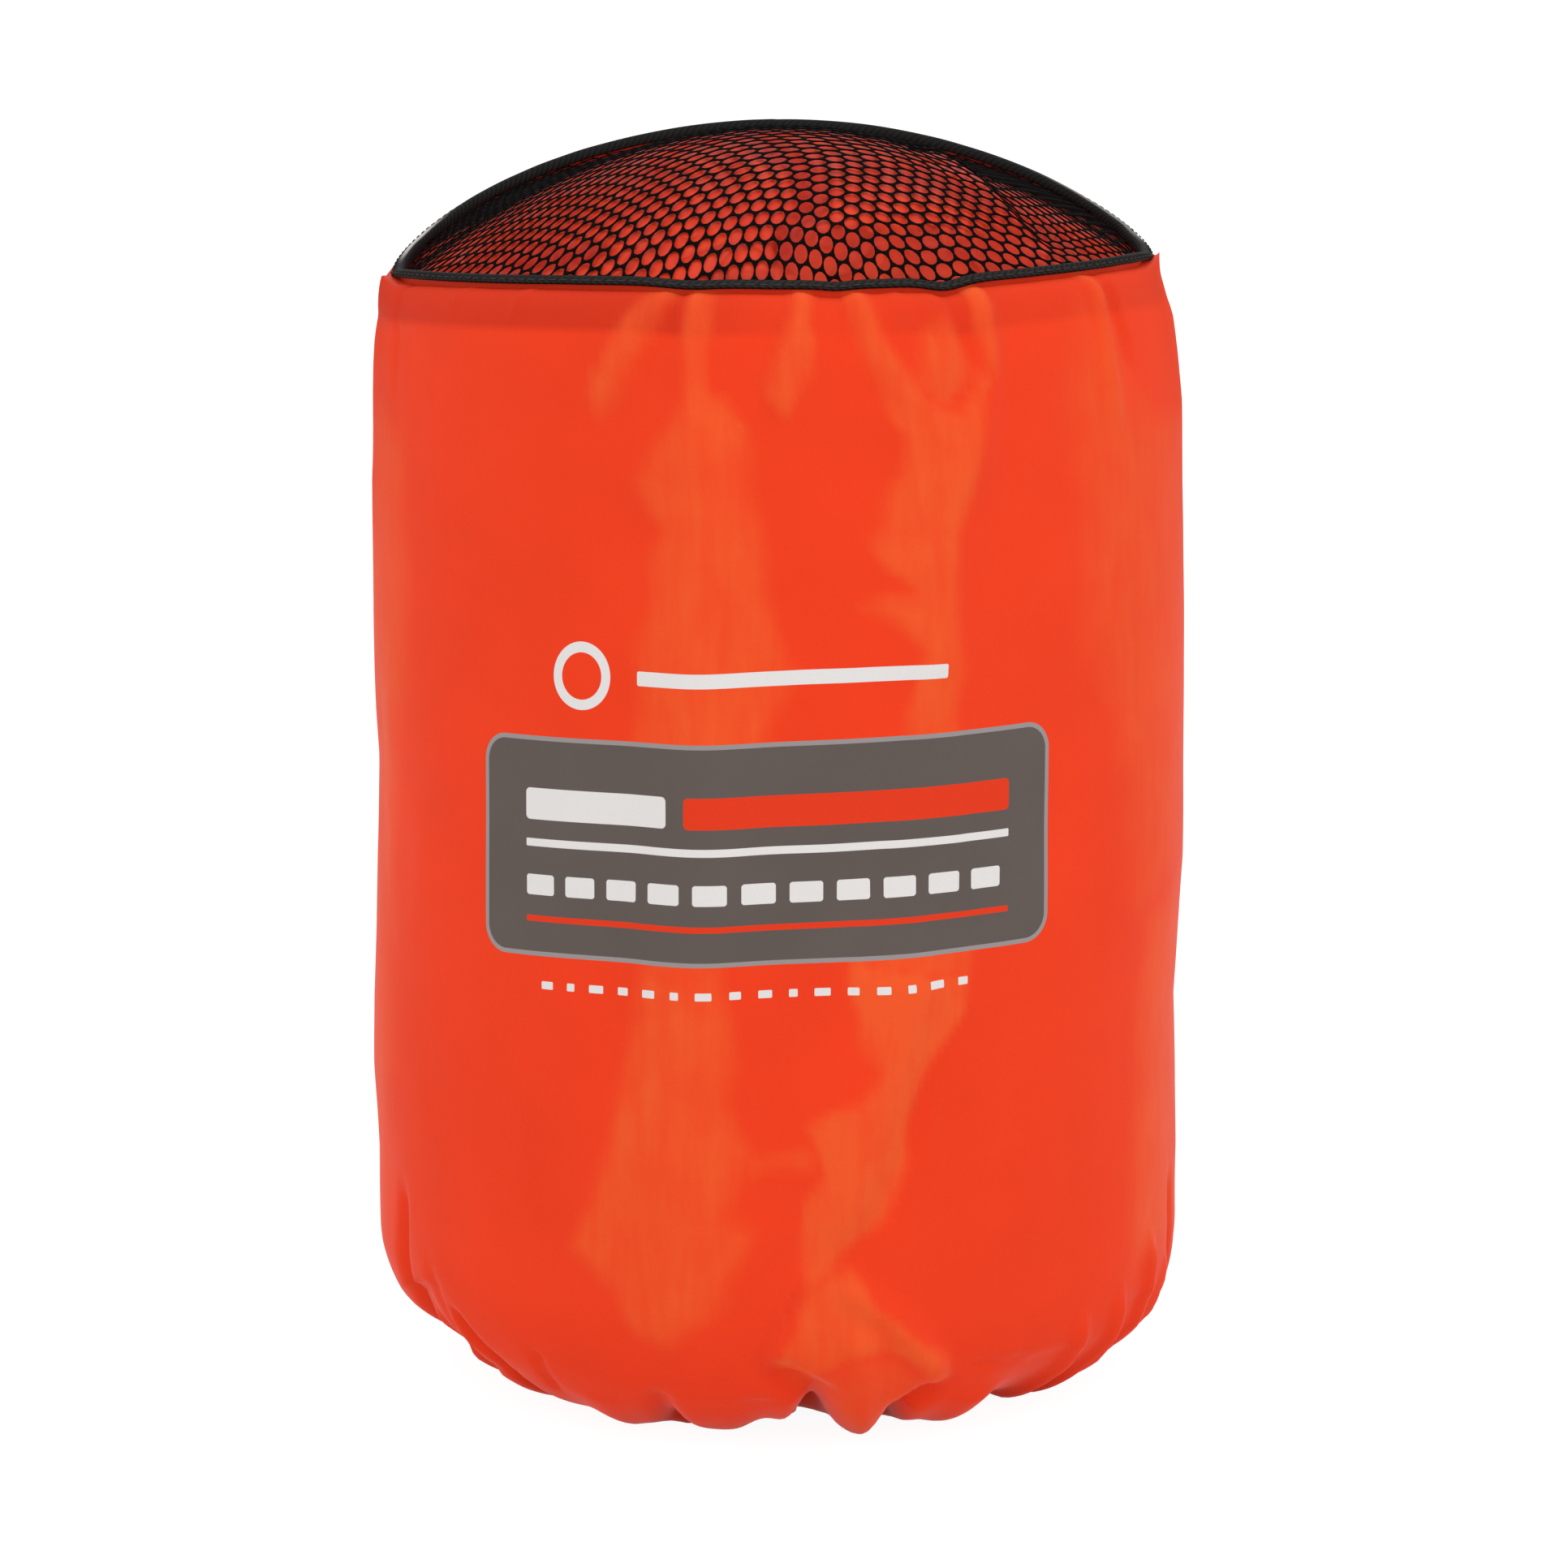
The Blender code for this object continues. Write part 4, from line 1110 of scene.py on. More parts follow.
def lattice_tree():
    """Lays cells in staggered rows inside a radius, and joins them."""
    tree, given, result = new_tree("net_lattice", Pitch="Float", Radius="Float", Turn="Float", Count="Int",
                                   Cell="Object", Thread="Material")
    pitch, count = given["Pitch"], given["Count"]
    row_gap = math_node(tree, "MULTIPLY", pitch, math.sqrt(3) / 2)
    spans = math_node(tree, "SUBTRACT", count, 1.0)
    grid = first_of(tree, "GeometryNodeMeshGrid", Vertices_X=count, Vertices_Y=count,
                    Size_X=math_node(tree, "MULTIPLY", pitch, spans),
                    Size_Y=math_node(tree, "MULTIPLY", row_gap, spans))
    row = math_node(tree, "MODULO", first_of(tree, "GeometryNodeInputIndex"), count)
    odd = math_node(tree, "MODULO", row, 2.0)
    stagger = math_node(tree, "MULTIPLY", math_node(tree, "MULTIPLY", pitch, 0.5), odd)
    shift = first_of(tree, "ShaderNodeCombineXYZ", X=stagger)
    staggered = first_of(tree, "GeometryNodeSetPosition", Geometry=grid, Offset=shift)
    turn = first_of(tree, "ShaderNodeCombineXYZ", Z=given["Turn"])
    turned = first_of(tree, "GeometryNodeTransform", Geometry=staggered, Rotation=turn)
    place = first_of(tree, "GeometryNodeInputPosition")
    length = node(tree, "ShaderNodeVectorMath", {"operation": "LENGTH"}, place).outputs["Value"]
    reach = math_node(tree, "ADD", given["Radius"], math_node(tree, "MULTIPLY", pitch, 0.45))
    far = node(tree, "FunctionNodeCompare", {"operation": "GREATER_THAN"}, A=length, B=reach).outputs[0]
    kept = first_of(tree, "GeometryNodeDeleteGeometry", Geometry=turned, Selection=far)
    cell = node(tree, "GeometryNodeObjectInfo", Object=given["Cell"]).outputs["Geometry"]
    cells = first_of(tree, "GeometryNodeInstanceOnPoints", Points=kept, Instance=cell, Rotation=turn)
    real = first_of(tree, "GeometryNodeRealizeInstances", Geometry=cells)
    joined = first_of(tree, "GeometryNodeMergeByDistance", Geometry=real, Distance=0.02 * MM)
    coated = first_of(tree, "GeometryNodeSetMaterial", Geometry=joined, Material=given["Thread"])
    tree.links.new(coated, result.inputs[0])
    return tree


# %% [markdown]
# ## Net end
# Python lays the flat sheet over the dome, keeping its length along the slope, and Solidify
# gives it thickness. The rim's pull turns the net's rows gradually, and leaves one crease.

# %% Net end
CREASE = MM * np.array([
    (26.5, 4.0), (27.6, -3.0), (33.0, -17.0), (38.0, -29.0), (41.5, -34.0), (46.0, -40.0),
])
CREASE_RIDGE, CREASE_RIDGE_WIDTH = 0.5 * MM, 3 * MM
CREASE_DROP, CREASE_DROP_START, CREASE_DROP_WIDTH = 1.3 * MM, 5 * MM, 16 * MM
CREASE_EDGE_FADE = 9 * MM
TWIST = 0.62
TWIST_MIDDLE = np.array([30.0, -42.0]) * MM
TWIST_NEAR, TWIST_FAR = 14 * MM, 95 * MM
NET_SPARE = 24 * MM


def slope_table():
    """Distances from the middle, along the ground and along the dome's slope."""
    ground = np.linspace(0, NET_RADIUS, 100)
    crown = (DOME[0].mean() - DOME[-1].mean()) / NET_RADIUS ** 2
    slope = np.hypot(1, 2 * crown * ground)
    return ground, np.append(0, np.cumsum((slope[1:] + slope[:-1]) / 2 * np.diff(ground)))


def crease_shift(x, y):
    """The net stands proud along a crease on its right, and drops beyond it."""
    nearest, _, side = from_path(CREASE, x, y)
    beyond = np.where(side > 0, smooth(nearest / CREASE_DROP_START) * hump(nearest, CREASE_DROP_WIDTH), 0)
    inside = smooth((NET_RADIUS - np.hypot(x, y)) / CREASE_EDGE_FADE)
    return inside * (CREASE_RIDGE * hump(nearest, CREASE_RIDGE_WIDTH) - CREASE_DROP * beyond)


def net_level(x, y):
    """Height of the net. Its edge follows the dips of the rim."""
    reach = np.clip(np.hypot(x, y) / NET_RADIUS, 0, 1)
    return dome_level(x, y) - rim_dip(np.arctan2(x, -y)) * reach ** 3 + crease_shift(x, y)


def twisted(x, y):
    """Turns the net's rows gradually, most of all in front on the right, as the pull of the rim does."""
    dx, dy = x - TWIST_MIDDLE[0], y - TWIST_MIDDLE[1]
    distance = np.maximum(np.hypot(dx, dy), 0.1 * MM)
    turn = -TWIST * smooth(np.log(TWIST_FAR / distance) / math.log(TWIST_FAR / TWIST_NEAR))
    return (TWIST_MIDDLE[0] + dx * np.cos(turn) - dy * np.sin(turn),
            TWIST_MIDDLE[1] + dx * np.sin(turn) + dy * np.cos(turn))


def trimmed_to(mesh, reach):
    """Removes the faces whose corners would all lie beyond the net's edge."""
    points = corners(mesh)
    beyond = np.hypot(*twisted(points[:, 0], points[:, 1])) > reach + 0.3 * MM
    plane = bmesh.new()
    plane.from_mesh(mesh)
    gone = [face for face in plane.faces if all(beyond[corner.index] for corner in face.verts)]
    bmesh.ops.delete(plane, geom=gone, context="FACES")
    plane.to_mesh(mesh)
    plane.free()


def make_net():
    ground, along = slope_table()
    cell = net_cell()
    wide = along[-1] + NET_SPARE
    count = int(2 * wide / (HOLE_PITCH * math.sqrt(3) / 2)) + 4
    made = grown("net_end", lattice_tree(), bpy.data.meshes.new("net_end"), Pitch=HOLE_PITCH, Radius=wide,
                 Turn=LATTICE_TURN, Count=count, Cell=cell, Thread=NET_THREAD)
    bpy.data.objects.remove(cell)
    trimmed_to(made.data, along[-1])
    points = corners(made.data)
    points[:, 0], points[:, 1] = twisted(points[:, 0], points[:, 1])
    reach, angle, _ = polar_of(points)
    points = at(np.interp(np.minimum(reach, along[-1]), along, ground), angle, 0)
    points[:, 2] = net_level(points[:, 0], points[:, 1]) - 0.05 * MM
    made.data.vertices.foreach_set("co", leaned(points).ravel())
    made.modifiers.new("weld", "WELD").merge_threshold = 0.01 * MM
    thick = made.modifiers.new("thickness", "SOLIDIFY")
    thick.thickness, thick.offset = NET_THICKNESS, -1
    return applied(made)


net_end = make_net()
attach(net_end, "sack")
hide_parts("mesh_end")

# %% [markdown]
# ## Rim tape
# A ribbed tape is folded over the edge where the net meets the side. Its section, a narrow
# upside-down U with round corners, runs along the rim. Its outside is painted paler behind, as a
# painted sheen where it catches the light, and two stretches of its top edge are painted pale: the one
# at the back right is a painted highlight.

# %% Rim tape
TAPE_LEG = 0.9 * MM
TAPE_SHOWN = -0.05 * MM
TAPE_INNER = RIM_RADIUS - 1.55 * MM
TAPE_COLUMNS = 480
ARCH_FOOT = -0.6 * MM
RIB_PITCH = 1.25 * MM
TAPE_BLACK = (0.010, 0.009, 0.009)
PaleRun = namedtuple("PaleRun", "angle half share")
# Pale runs along the top edge; the one at the back right, at 116 degrees, is a painted highlight.
PALE_RUNS = [PaleRun(-106, 9, 1.0), PaleRun(116, 15, 0.45)]


def tape_material():
    made, tree, shader = new_material("ribbed_tape", TAPE_BLACK, 0.6, Specular_IOR_Level=0.12)
    place, across, up = cloth_place(tree)
    rib = wave(tree, math_node(tree, "ADD", across, math_node(tree, "MULTIPLY", up, 0.9)), RIB_PITCH)
    tone = math_node(tree, "MULTIPLY_ADD", rib, 0.5, 0.5)
    colour = mixed(tree, tone, (0.003, 0.003, 0.003), (0.012, 0.011, 0.010))
    # Painted sheen: the outer face is painted paler, most of all behind, where it catches the light.
    outer_sheen = mixed(tree, tone, (0.035, 0.030, 0.026), (0.075, 0.066, 0.058))
    colour = mixed(tree, point_value(tree, "worn"), colour, outer_sheen)
    # The pale runs of the top edge; the one at the back right is a painted highlight.
    colour = mixed(tree, point_value(tree, "pale_edge"), colour, (0.62, 0.57, 0.54))
    surfaced(tree, shader, colour, (rib, 0.03 * MM))
    return made


def make_tape():
    """The tape's closed section swept round the rim. The section starts at its inner foot."""
    angle = round_angles(TAPE_COLUMNS)
    middle, half_out = (TAPE_INNER + TAPE_RADIUS) / 2, (TAPE_RADIUS - TAPE_INNER) / 2
    half_in, rise = half_out - TAPE, CLEARANCE + TAPE - ARCH_FOOT
    arch = np.linspace(math.pi, 0, 11)
    over = [(middle + half_out * math.cos(t), ARCH_FOOT + rise * math.sin(t)) for t in arch]
    under = [(middle + half_in * math.cos(t), ARCH_FOOT + (rise - TAPE) * math.sin(t)) for t in arch[::-1]]
    section = np.array([(middle - half_out, -TAPE_LEG), *over, (middle + half_out, -TAPE_SHOWN),
                        (middle + half_in, -TAPE_SHOWN), *under, (middle - half_in, -TAPE_LEG)])
    across, up = section.T
    wobble = 0.12 * MM * soft_noise(angle / (2 * math.pi) % 1.0, 0 * angle + 0.5, 31, 90, 2)
    closed = np.append(section, section[:1], 0)
    outward = (across > middle + 0.1 * half_out)[:, None]
    behind = smooth((abs(angle) - math.radians(95)) / math.radians(25))
    on_top = (abs(across - middle - 0.1 * half_out) < 0.4 * half_out) & (up > 0.3 * MM)
    streak = sum(run.share * np.exp(-((angle - math.radians(run.angle)) / math.radians(run.half)) ** 4)
                 for run in PALE_RUNS)
    # The first value paints a sheen on the outer face, strongest behind; the second holds the pale runs.
    values = {"worn": outward * (0.15 + 0.65 * behind), "pale_edge": on_top[:, None] * streak}
    height = up[:, None] + (RIM_LEVEL + rim_rise(angle))
    return tube("rim_tape", across[:, None] + wobble, angle, height, RIM_RADIUS, lengths_along(*closed.T),
                tape_material(), values, True)


rim_tape = make_tape()
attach(rim_tape, "sack")
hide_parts("rim_binding")
print("tape:", len(rim_tape.data.polygons), "faces")

# %% [markdown]
# ## Cloth inside the sack
# Inside the sack the tube's top edge is turned in, and a seam allowance runs down the back. Both
# follow the side's own shape, a little further in.

# %% Cloth inside the sack
SEAM_HALF = half_width("back_seam")
INNER_GAP = 0.08 * MM
LAYER = 0.3 * MM


def inner_layer(name, rows, columns, angle, depth, round_it):
    """A layer of cloth at a depth under the side's outer face, over some of its rows and columns."""
    profile, _, _, _, _, out = SIDE_GRID
    profile = rows_of(profile, rows)
    out = out[rows][:, columns] - depth
    return shell(name, placed(profile, angle, out), placed(profile, angle, out - LAYER), SACK_CLOTH_PLAIN,
                 angle * SIDE_RADIUS, profile.level, round_it)


def make_turned_hem():
    rows = np.where(RIM_LEVEL - SIDE_GRID[0].level <= HEM_BAND)[0]
    return inner_layer("turned_hem", rows, np.arange(SIDE_COLUMNS), SIDE_GRID[1], CLOTH + INNER_GAP, True)


def make_back_seam():
    """The seam allowance at the back, where the grid's columns begin and end."""
    reach = int(SEAM_HALF / ROUND_LENGTH * SIDE_COLUMNS)
    columns = np.arange(-reach, reach + 1)
    level = SIDE_GRID[0].level
    rows = np.where((level < RIM_LEVEL - 1 * MM) & (level > BASE_CORNER + 0.2 * MM))[0]
    ripple = 0.06 * MM * np.sin(level[rows][:, None] / (3 * MM) + columns * 0.4)
    return inner_layer("back_seam_cloth", rows, columns, math.pi + columns / SIDE_COLUMNS * 2 * math.pi,
                       CLOTH + LAYER + 2 * INNER_GAP + ripple, False)


turned_hem = make_turned_hem()
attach(turned_hem, "sack")
back_seam = make_back_seam()
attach(back_seam, "sack")
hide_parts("back_seam")
print("hem and seam:", len(turned_hem.data.polygons), len(back_seam.data.polygons), "faces")

# %% [markdown]
# ## Cord in the hem
# A black braided cord lies in the hem of the mouth. It waves a little with the pleats.

# %% Cord in the hem
CORD_COLUMNS = 240
CORD_SIDES = 16
BRAID_PITCH = 1.3 * MM


def cord_material():
    """Black braided cord: two sets of strands cross round it."""
    made, tree, shader = new_material("braided_cord", (0.012, 0.012, 0.012), 0.6, Specular_IOR_Level=0.3)
    place, across, up = cloth_place(tree)
    strands = [wave(tree, math_node(tree, operation, across, up), BRAID_PITCH)
               for operation in ("ADD", "SUBTRACT")]
    braid = math_node(tree, "MAXIMUM", *strands)
    colour = mixed(tree, braid, (0.006, 0.006, 0.006), (0.022, 0.021, 0.020))
    surfaced(tree, shader, colour, (braid, 0.15 * MM))
    return made


def make_cord():
    angle = round_angles(CORD_COLUMNS)
    turn = -np.arange(CORD_SIDES + 1) / CORD_SIDES * 2 * math.pi
    middle = MOUTH_HEIGHT + 0.15 * MM * soft_noise((angle / (2 * math.pi)) % 1, 0 * angle + 0.5, 51, 17, 2)
    half = CORD_RADIUS - 0.25 * MM
    section = turn[:-1, None]
    return tube("mouth_cord", MOUTH_RADIUS + half * np.cos(section), angle, middle + half * np.sin(section),
                MOUTH_RADIUS, turn * -CORD_RADIUS, cord_material())


mouth_cord = make_cord()
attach(mouth_cord, "sack")
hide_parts("drawcord")
print("cord:", len(mouth_cord.data.polygons), "faces")

# %% [markdown]
# ## Stitches
# Stitches repeat along a path, so Geometry Nodes lays one small thread shape at even steps along
# each path and turns it to follow. The same tree serves the tape, the back seam and the hem.

# %% Stitches in Geometry Nodes
def thread_material(name, colour):
    made, tree, shader = new_material(name, colour, 0.5, Specular_IOR_Level=0.3)
    twist = noise(tree, object_place(tree), 3500.0, 1.0)
    surfaced(tree, shader, mixed(tree, twist, toned(colour, 0.6), colour), (twist, 0.03 * MM))
    return made


BLACK_THREAD = thread_material("black_thread", (0.03, 0.03, 0.03))
ORANGE_THREAD = thread_material("orange_thread", (0.80, 0.10, 0.03))


def stitch_tree():
    """Lays a long ball of thread at even steps along paths."""
    tree, given, result = new_tree("stitches", Step="Float", Length="Float", Thickness="Float",
                                   Thread="Material")
    path = first_of(tree, "GeometryNodeMeshToCurve", Mesh=given["Geometry"])
    steps = node(tree, "GeometryNodeCurveToPoints", {"mode": "LENGTH"}, Curve=path,
                 Length=given["Step"]).outputs
    ball = first_of(tree, "GeometryNodeMeshIcoSphere", Radius=0.5, Subdivisions=2)
    thick = given["Thickness"]
    size = first_of(tree, "ShaderNodeCombineXYZ", X=thick, Y=thick, Z=given["Length"])
    laid = first_of(tree, "GeometryNodeInstanceOnPoints", Points=steps["Points"], Instance=ball,
                    Rotation=steps["Rotation"], Scale=size)
    real = first_of(tree, "GeometryNodeRealizeInstances", Geometry=laid)
    coloured = first_of(tree, "GeometryNodeSetMaterial", Geometry=real, Material=given["Thread"])
    tree.links.new(coloured, result.inputs[0])
    return tree


STITCH_TREE = stitch_tree()


def stitched(name, paths, thread, step=2.4 * MM, length=1.8 * MM, thickness=0.28 * MM):
    """Rows of stitches along paths of points. A closed path repeats its first point at its end."""
    points, edges = [], []
    for path in paths:
        start = len(points)
        points += [tuple(p) for p in path]
        edges += [(start + i, start + i + 1) for i in range(len(path) - 1)]
    mesh = bpy.data.meshes.new(name)
    mesh.from_pydata(points, edges, [])
    return grown(name, STITCH_TREE, mesh, Step=step, Length=length, Thickness=thickness, Thread=thread)


# %% [markdown]
# ## Stitches on tape, seam and hem
# One row runs round the rim on the tape's outer leg, two rows run down the back beside the seam,
# and one closed row runs round the mouth just outside the hem.

# %% Stitches on tape, seam and hem
TAPE_ROW_LIFT = 0.15 * MM
SEAM_ROW_GAP = 1.6 * MM
PROUD = 0.03 * MM


def tape_path():
    angle = np.linspace(-math.pi, math.pi, 721)
    return leaned(at(TAPE_RADIUS + 0.02 * MM, angle, RIM_LEVEL + rim_rise(angle) + TAPE_ROW_LIFT))


def seam_paths():
    profile, _, _, _, _, out = SIDE_GRID
    rows = np.where((profile.level < RIM_LEVEL - 3 * MM) & (profile.level > BASE_CORNER + 1 * MM))[0]
    paths = []
    for side in (-1, 1):
        angle = np.array([math.pi + side * SEAM_ROW_GAP / SIDE_RADIUS])
        column = int(round(angle[0] / (2 * math.pi) * SIDE_COLUMNS - SIDE_COLUMNS / 2)) % SIDE_COLUMNS
        paths.append(placed(rows_of(profile, rows), angle, out[rows][:, [column]] + PROUD)[:, 0])
    return paths


def hem_path():
    profile, _, _, _, outer, _, normal = BASE_GRID
    row = int(np.argmin(abs(profile.radius[:60] - CHANNEL_SIDE - 0.4 * MM)))
    points = outer[row] + PROUD * normal[row]
    return np.concatenate([points, points[:1]])


tape_stitches = stitched("tape_stitches", [tape_path()], BLACK_THREAD, 2.1 * MM, 1.6 * MM, 0.22 * MM)
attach(tape_stitches, "sack")
seam_stitches = stitched("seam_stitches", seam_paths(), ORANGE_THREAD)
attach(seam_stitches, "sack")
hem_stitches = stitched("hem_stitches", [hem_path()], ORANGE_THREAD, 2.0 * MM, 1.5 * MM, 0.24 * MM)
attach(hem_stitches, "sack")
print("stitches:", [len(o.data.polygons) for o in (tape_stitches, seam_stitches, hem_stitches)])

# %% [markdown]
# ## Own meshes for the mouth
# When the sack is pulled up, its drawn mouth crumples towards the foot of the side. Here the base,
# the cord and the hem's stitches only get meshes of their own.

# %% Own meshes for the mouth
for piece in (sack_base, mouth_cord, hem_stitches):
    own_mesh(piece)
print("squashed towards", round(BASE_CORNER * 1000, 1), "mm")

# %% [markdown]
# ## Cloth and film of the shelter
# The shelter is a big sheet of coated cloth, rolled and packed tight. It has black seats, clear
# windows and silver strips. Its cloth shows crisp fine creases from packing, with painted shade along
# them and in its hollows.

# %% Cloth and film of the shelter
SHELTER_ORANGE = (0.90, 0.060, 0.012)
SHELTER_DEEP = (0.80, 0.034, 0.008)
# Painted shade for the creases and hollows.
SHELTER_CREASE_SHADE = (0.60, 0.020, 0.008)
SEAT_BLACK = (0.030, 0.030, 0.034)
FILM_CLEAR = (0.86, 0.91, 0.93)
STRIP_SILVER = (0.62, 0.63, 0.64)
DIAMOND = 2.6 * MM


def flat_share(tree, place, scale):
    """1 on the flats of creased cloth, 0 along its crisp creases."""
    height = math_node(tree, "SUBTRACT", noise(tree, place, scale, 2.0, 0.35), 0.5)
    steep = math_node(tree, "MULTIPLY", math_node(tree, "ABSOLUTE", height), 11.0)
    return math_node(tree, "MINIMUM", steep, 1.0)


def shelter_cloth():
    """Orange coated nylon, creased from packing, with painted shade in its creases and hollows."""
    made, tree, shader = new_material("shelter_nylon", SHELTER_ORANGE, 0.45, Specular_IOR_Level=0.25)
    place = object_place(tree)
    colour = mixed(tree, noise(tree, place, 60.0, 3.0), SHELTER_DEEP, SHELTER_ORANGE)
    # Painted shade: the crease value of each corner darkens creases and hollows.
    colour = mixed(tree, point_value(tree, "crease"), colour, SHELTER_CREASE_SHADE)
    flat = math_node(tree, "MULTIPLY", *(flat_share(tree, place, scale) for scale in (34.0, 75.0)))
    # Painted shade along the crisp creases of the noise.
    colour = mixed(tree, math_node(tree, "MULTIPLY_ADD", flat, -0.45, 0.45), colour, SHELTER_CREASE_SHADE)
    surfaced(tree, shader, colour, (flat, 0.7 * MM), (noise(tree, place, 120.0, 4.0, 0.6), 0.4 * MM),
             (noise(tree, place, 2500.0), 0.01 * MM))
    return made


def seat_cloth():
    """Heavier black nylon with a weave that can be seen."""
    made, tree, shader = new_material("seat_nylon", SEAT_BLACK, 0.55, Specular_IOR_Level=0.3)
    place, across, up = cloth_place(tree)
    weave = plain_weave(tree, across, up, 0.7 * MM)
    tone = math_node(tree, "MULTIPLY_ADD", weave, 0.5, 0.5)
    colour = mixed(tree, tone, (0.016, 0.016, 0.018), (0.044, 0.044, 0.050))
    surfaced(tree, shader, colour, (weave, 0.05 * MM))
    return made


def window_film():
    """Clear flexible film, faintly rippled."""
    made, tree, shader = new_material("clear_film", FILM_CLEAR, 0.10, IOR=1.45, Transmission_Weight=0.85)
    surfaced(tree, shader, (*FILM_CLEAR, 1.0), (noise(tree, object_place(tree), 90.0), 0.2 * MM))
    return made


def strip_tape():
    """Silver reflective tape: fine beads under a pressed diamond pattern."""
    made, tree, shader = new_material("silver_tape", STRIP_SILVER, 0.32, Metallic=0.35)
    place, across, up = cloth_place(tree)
    lines = [wave(tree, math_node(tree, operation, across, up), 2 * DIAMOND)
             for operation in ("ADD", "SUBTRACT")]
    cells = math_node(tree, "ABSOLUTE", math_node(tree, "MULTIPLY", *lines))
    pressed = math_node(tree, "LESS_THAN", cells, 0.10)
    colour = mixed(tree, noise(tree, place, 4000.0), (0.55, 0.56, 0.57), (0.68, 0.69, 0.70))
    surfaced(tree, shader, mixed(tree, pressed, colour, (0.46, 0.47, 0.48)), (pressed, -0.03 * MM))
    return made


SHELTER_CLOTH, SEAT_CLOTH = shelter_cloth(), seat_cloth()
WINDOW_FILM, STRIP_TAPE = window_film(), strip_tape()
print("shelter finishes:", [m.name for m in (SHELTER_CLOTH, SEAT_CLOTH, WINDOW_FILM, STRIP_TAPE)])

# %% [markdown]
# ## Outline of the bundle
# From outside the rolled shelter is a full, creased bundle, which pushes the net up into a dome.
# It is laid out as a grid a little inside the sack: the top, the flank and the foot.

# %% Outline of the bundle
BUNDLE_COLUMNS = 300
BUNDLE_GAP = 0.5 * MM
BUNDLE_INSET = SIDE_RADIUS - BUNDLE_RADIUS
BUNDLE_TOP = NET_RADIUS - 1.2 * MM
TOP_EDGE = RIM_LEVEL - 4 * MM
FOOT_LIFT = 2.2 * MM
FOOT_ROWS = slice(1, 40)


def bundle_grid():
    """The bundle's surface from the middle of its top to the middle of its foot."""
    angle = round_angles(BUNDLE_COLUMNS)
    top = at(BUNDLE_TOP * np.linspace(0.02, 1, 45)[:, None], angle, 0)
    top[..., 2] = net_level(top[..., 0], top[..., 1]) - NET_THICKNESS - BUNDLE_GAP
    side = side_profile(70)
    side = rows_of(side, side.level < TOP_EDGE)
    up = heights_of(side, angle)
    out = cloth_height(np.broadcast_to(angle * SIDE_RADIUS, up.shape), up)
    flank = placed(side, angle, np.minimum(out, 0) - BUNDLE_INSET)
    base = rows_of(base_profile(), FOOT_ROWS)
    across, down = np.broadcast_arrays(angle * SIDE_RADIUS, base.down[:, None])
    drop = BUNDLE_INSET + FOOT_LIFT * smooth((BASE_CORNER - down) / (45 * MM))
    out = np.minimum(folds_height(BASE_FOLDS, across, down) + side_bulge(across, down), 0) - drop
    return np.concatenate([leaned(top), flank, base_points(base, angle, out)])


def make_bundle():
    points = bundle_grid()
    rows, columns = points.shape[:2]
    last = (rows - 1) * columns
    caps = [(rows * columns, c, (c + 1) % columns) for c in range(columns)]
    caps += [(rows * columns + 1, last + (c + 1) % columns, last + c) for c in range(columns)]
    ends = np.vstack([points.reshape(-1, 3), points[0].mean(axis=0), points[-1].mean(axis=0)])
    mesh = bpy.data.meshes.new("shelter_bundle")
    mesh.from_pydata(ends.tolist(), [], grid_faces(rows, columns, True)[0].tolist() + caps)
    mesh.materials.append(SHELTER_CLOTH)
    mesh.shade_smooth()
    return new_object("shelter_bundle", mesh)


bundle = make_bundle()
print("bundle:", len(bundle.data.polygons), "faces before it is wrinkled")

# %% [markdown]
# ## Growing the bundle's cloth
# Blender's Cloth grows the bundle between short slanting lines, where the roll is tight, so that
# it wrinkles as packed cloth does.

# %% Growing the bundle's cloth
PUFF_VOXEL = 3.6 * MM
PUFF_FRAMES = 20
PUFF_GROWTH = -0.14
PUFF_PRESSURE = 2.5
PUFF_CAP = 7 * MM
PUFF_START = 2.8 * MM
PUFF_EVENING = 2
PUFF_QUALITY, PUFF_MASS, PUFF_BENDING, PUFF_TENSION = 6, 0.15, 0.5, 12
FIRM_SEED = 23
FIRM_LINES = 34
FIRM_HALF = 2.0 * MM


def directions(mesh):
    """The outward direction at each corner of a mesh."""
    return np.array([v.normal for v in mesh.vertices])


def firm_corners(points):
    """The corners near short slanting lines, where the roll is tight and its outer cloth can't move."""
    pick = np.random.default_rng(FIRM_SEED)
    _, angle, height = polar_of(points)
    firm = np.zeros(len(points), dtype=bool)
    for number in range(FIRM_LINES):
        place = number / FIRM_LINES * ROUND_LENGTH + pick.uniform(-6, 6) * MM
        middle = np.array([place, pick.uniform(8, 180) * MM])
        turn = math.radians(pick.choice([-1, 1]) * (90 - abs(pick.normal(0, 32))))
        way = np.array([math.cos(turn), math.sin(turn)]) * (pick.uniform(12, 32) * MM)
        start, end = middle - way, middle + way
        across = start[0] + round_gap(angle * SIDE_RADIUS - start[0])
        firm |= from_line(start, end, across, height)[0] < FIRM_HALF
    return np.where(firm)[0].tolist()


def averaged(mesh, values, steps):
    """Values at a mesh's corners, evened out with their neighbours a number of times."""
    ends = np.empty(2 * len(mesh.edges), dtype=np.int32)
    mesh.edges.foreach_get("vertices", ends)
    first, second = ends[::2], ends[1::2]
    count = np.bincount(ends, minlength=len(values))
    for _ in range(steps):
        total = sum(np.bincount(a, values[b], len(values)) for a, b in ((first, second), (second, first)))
        values = (values + total) / (count + 1)
    return values


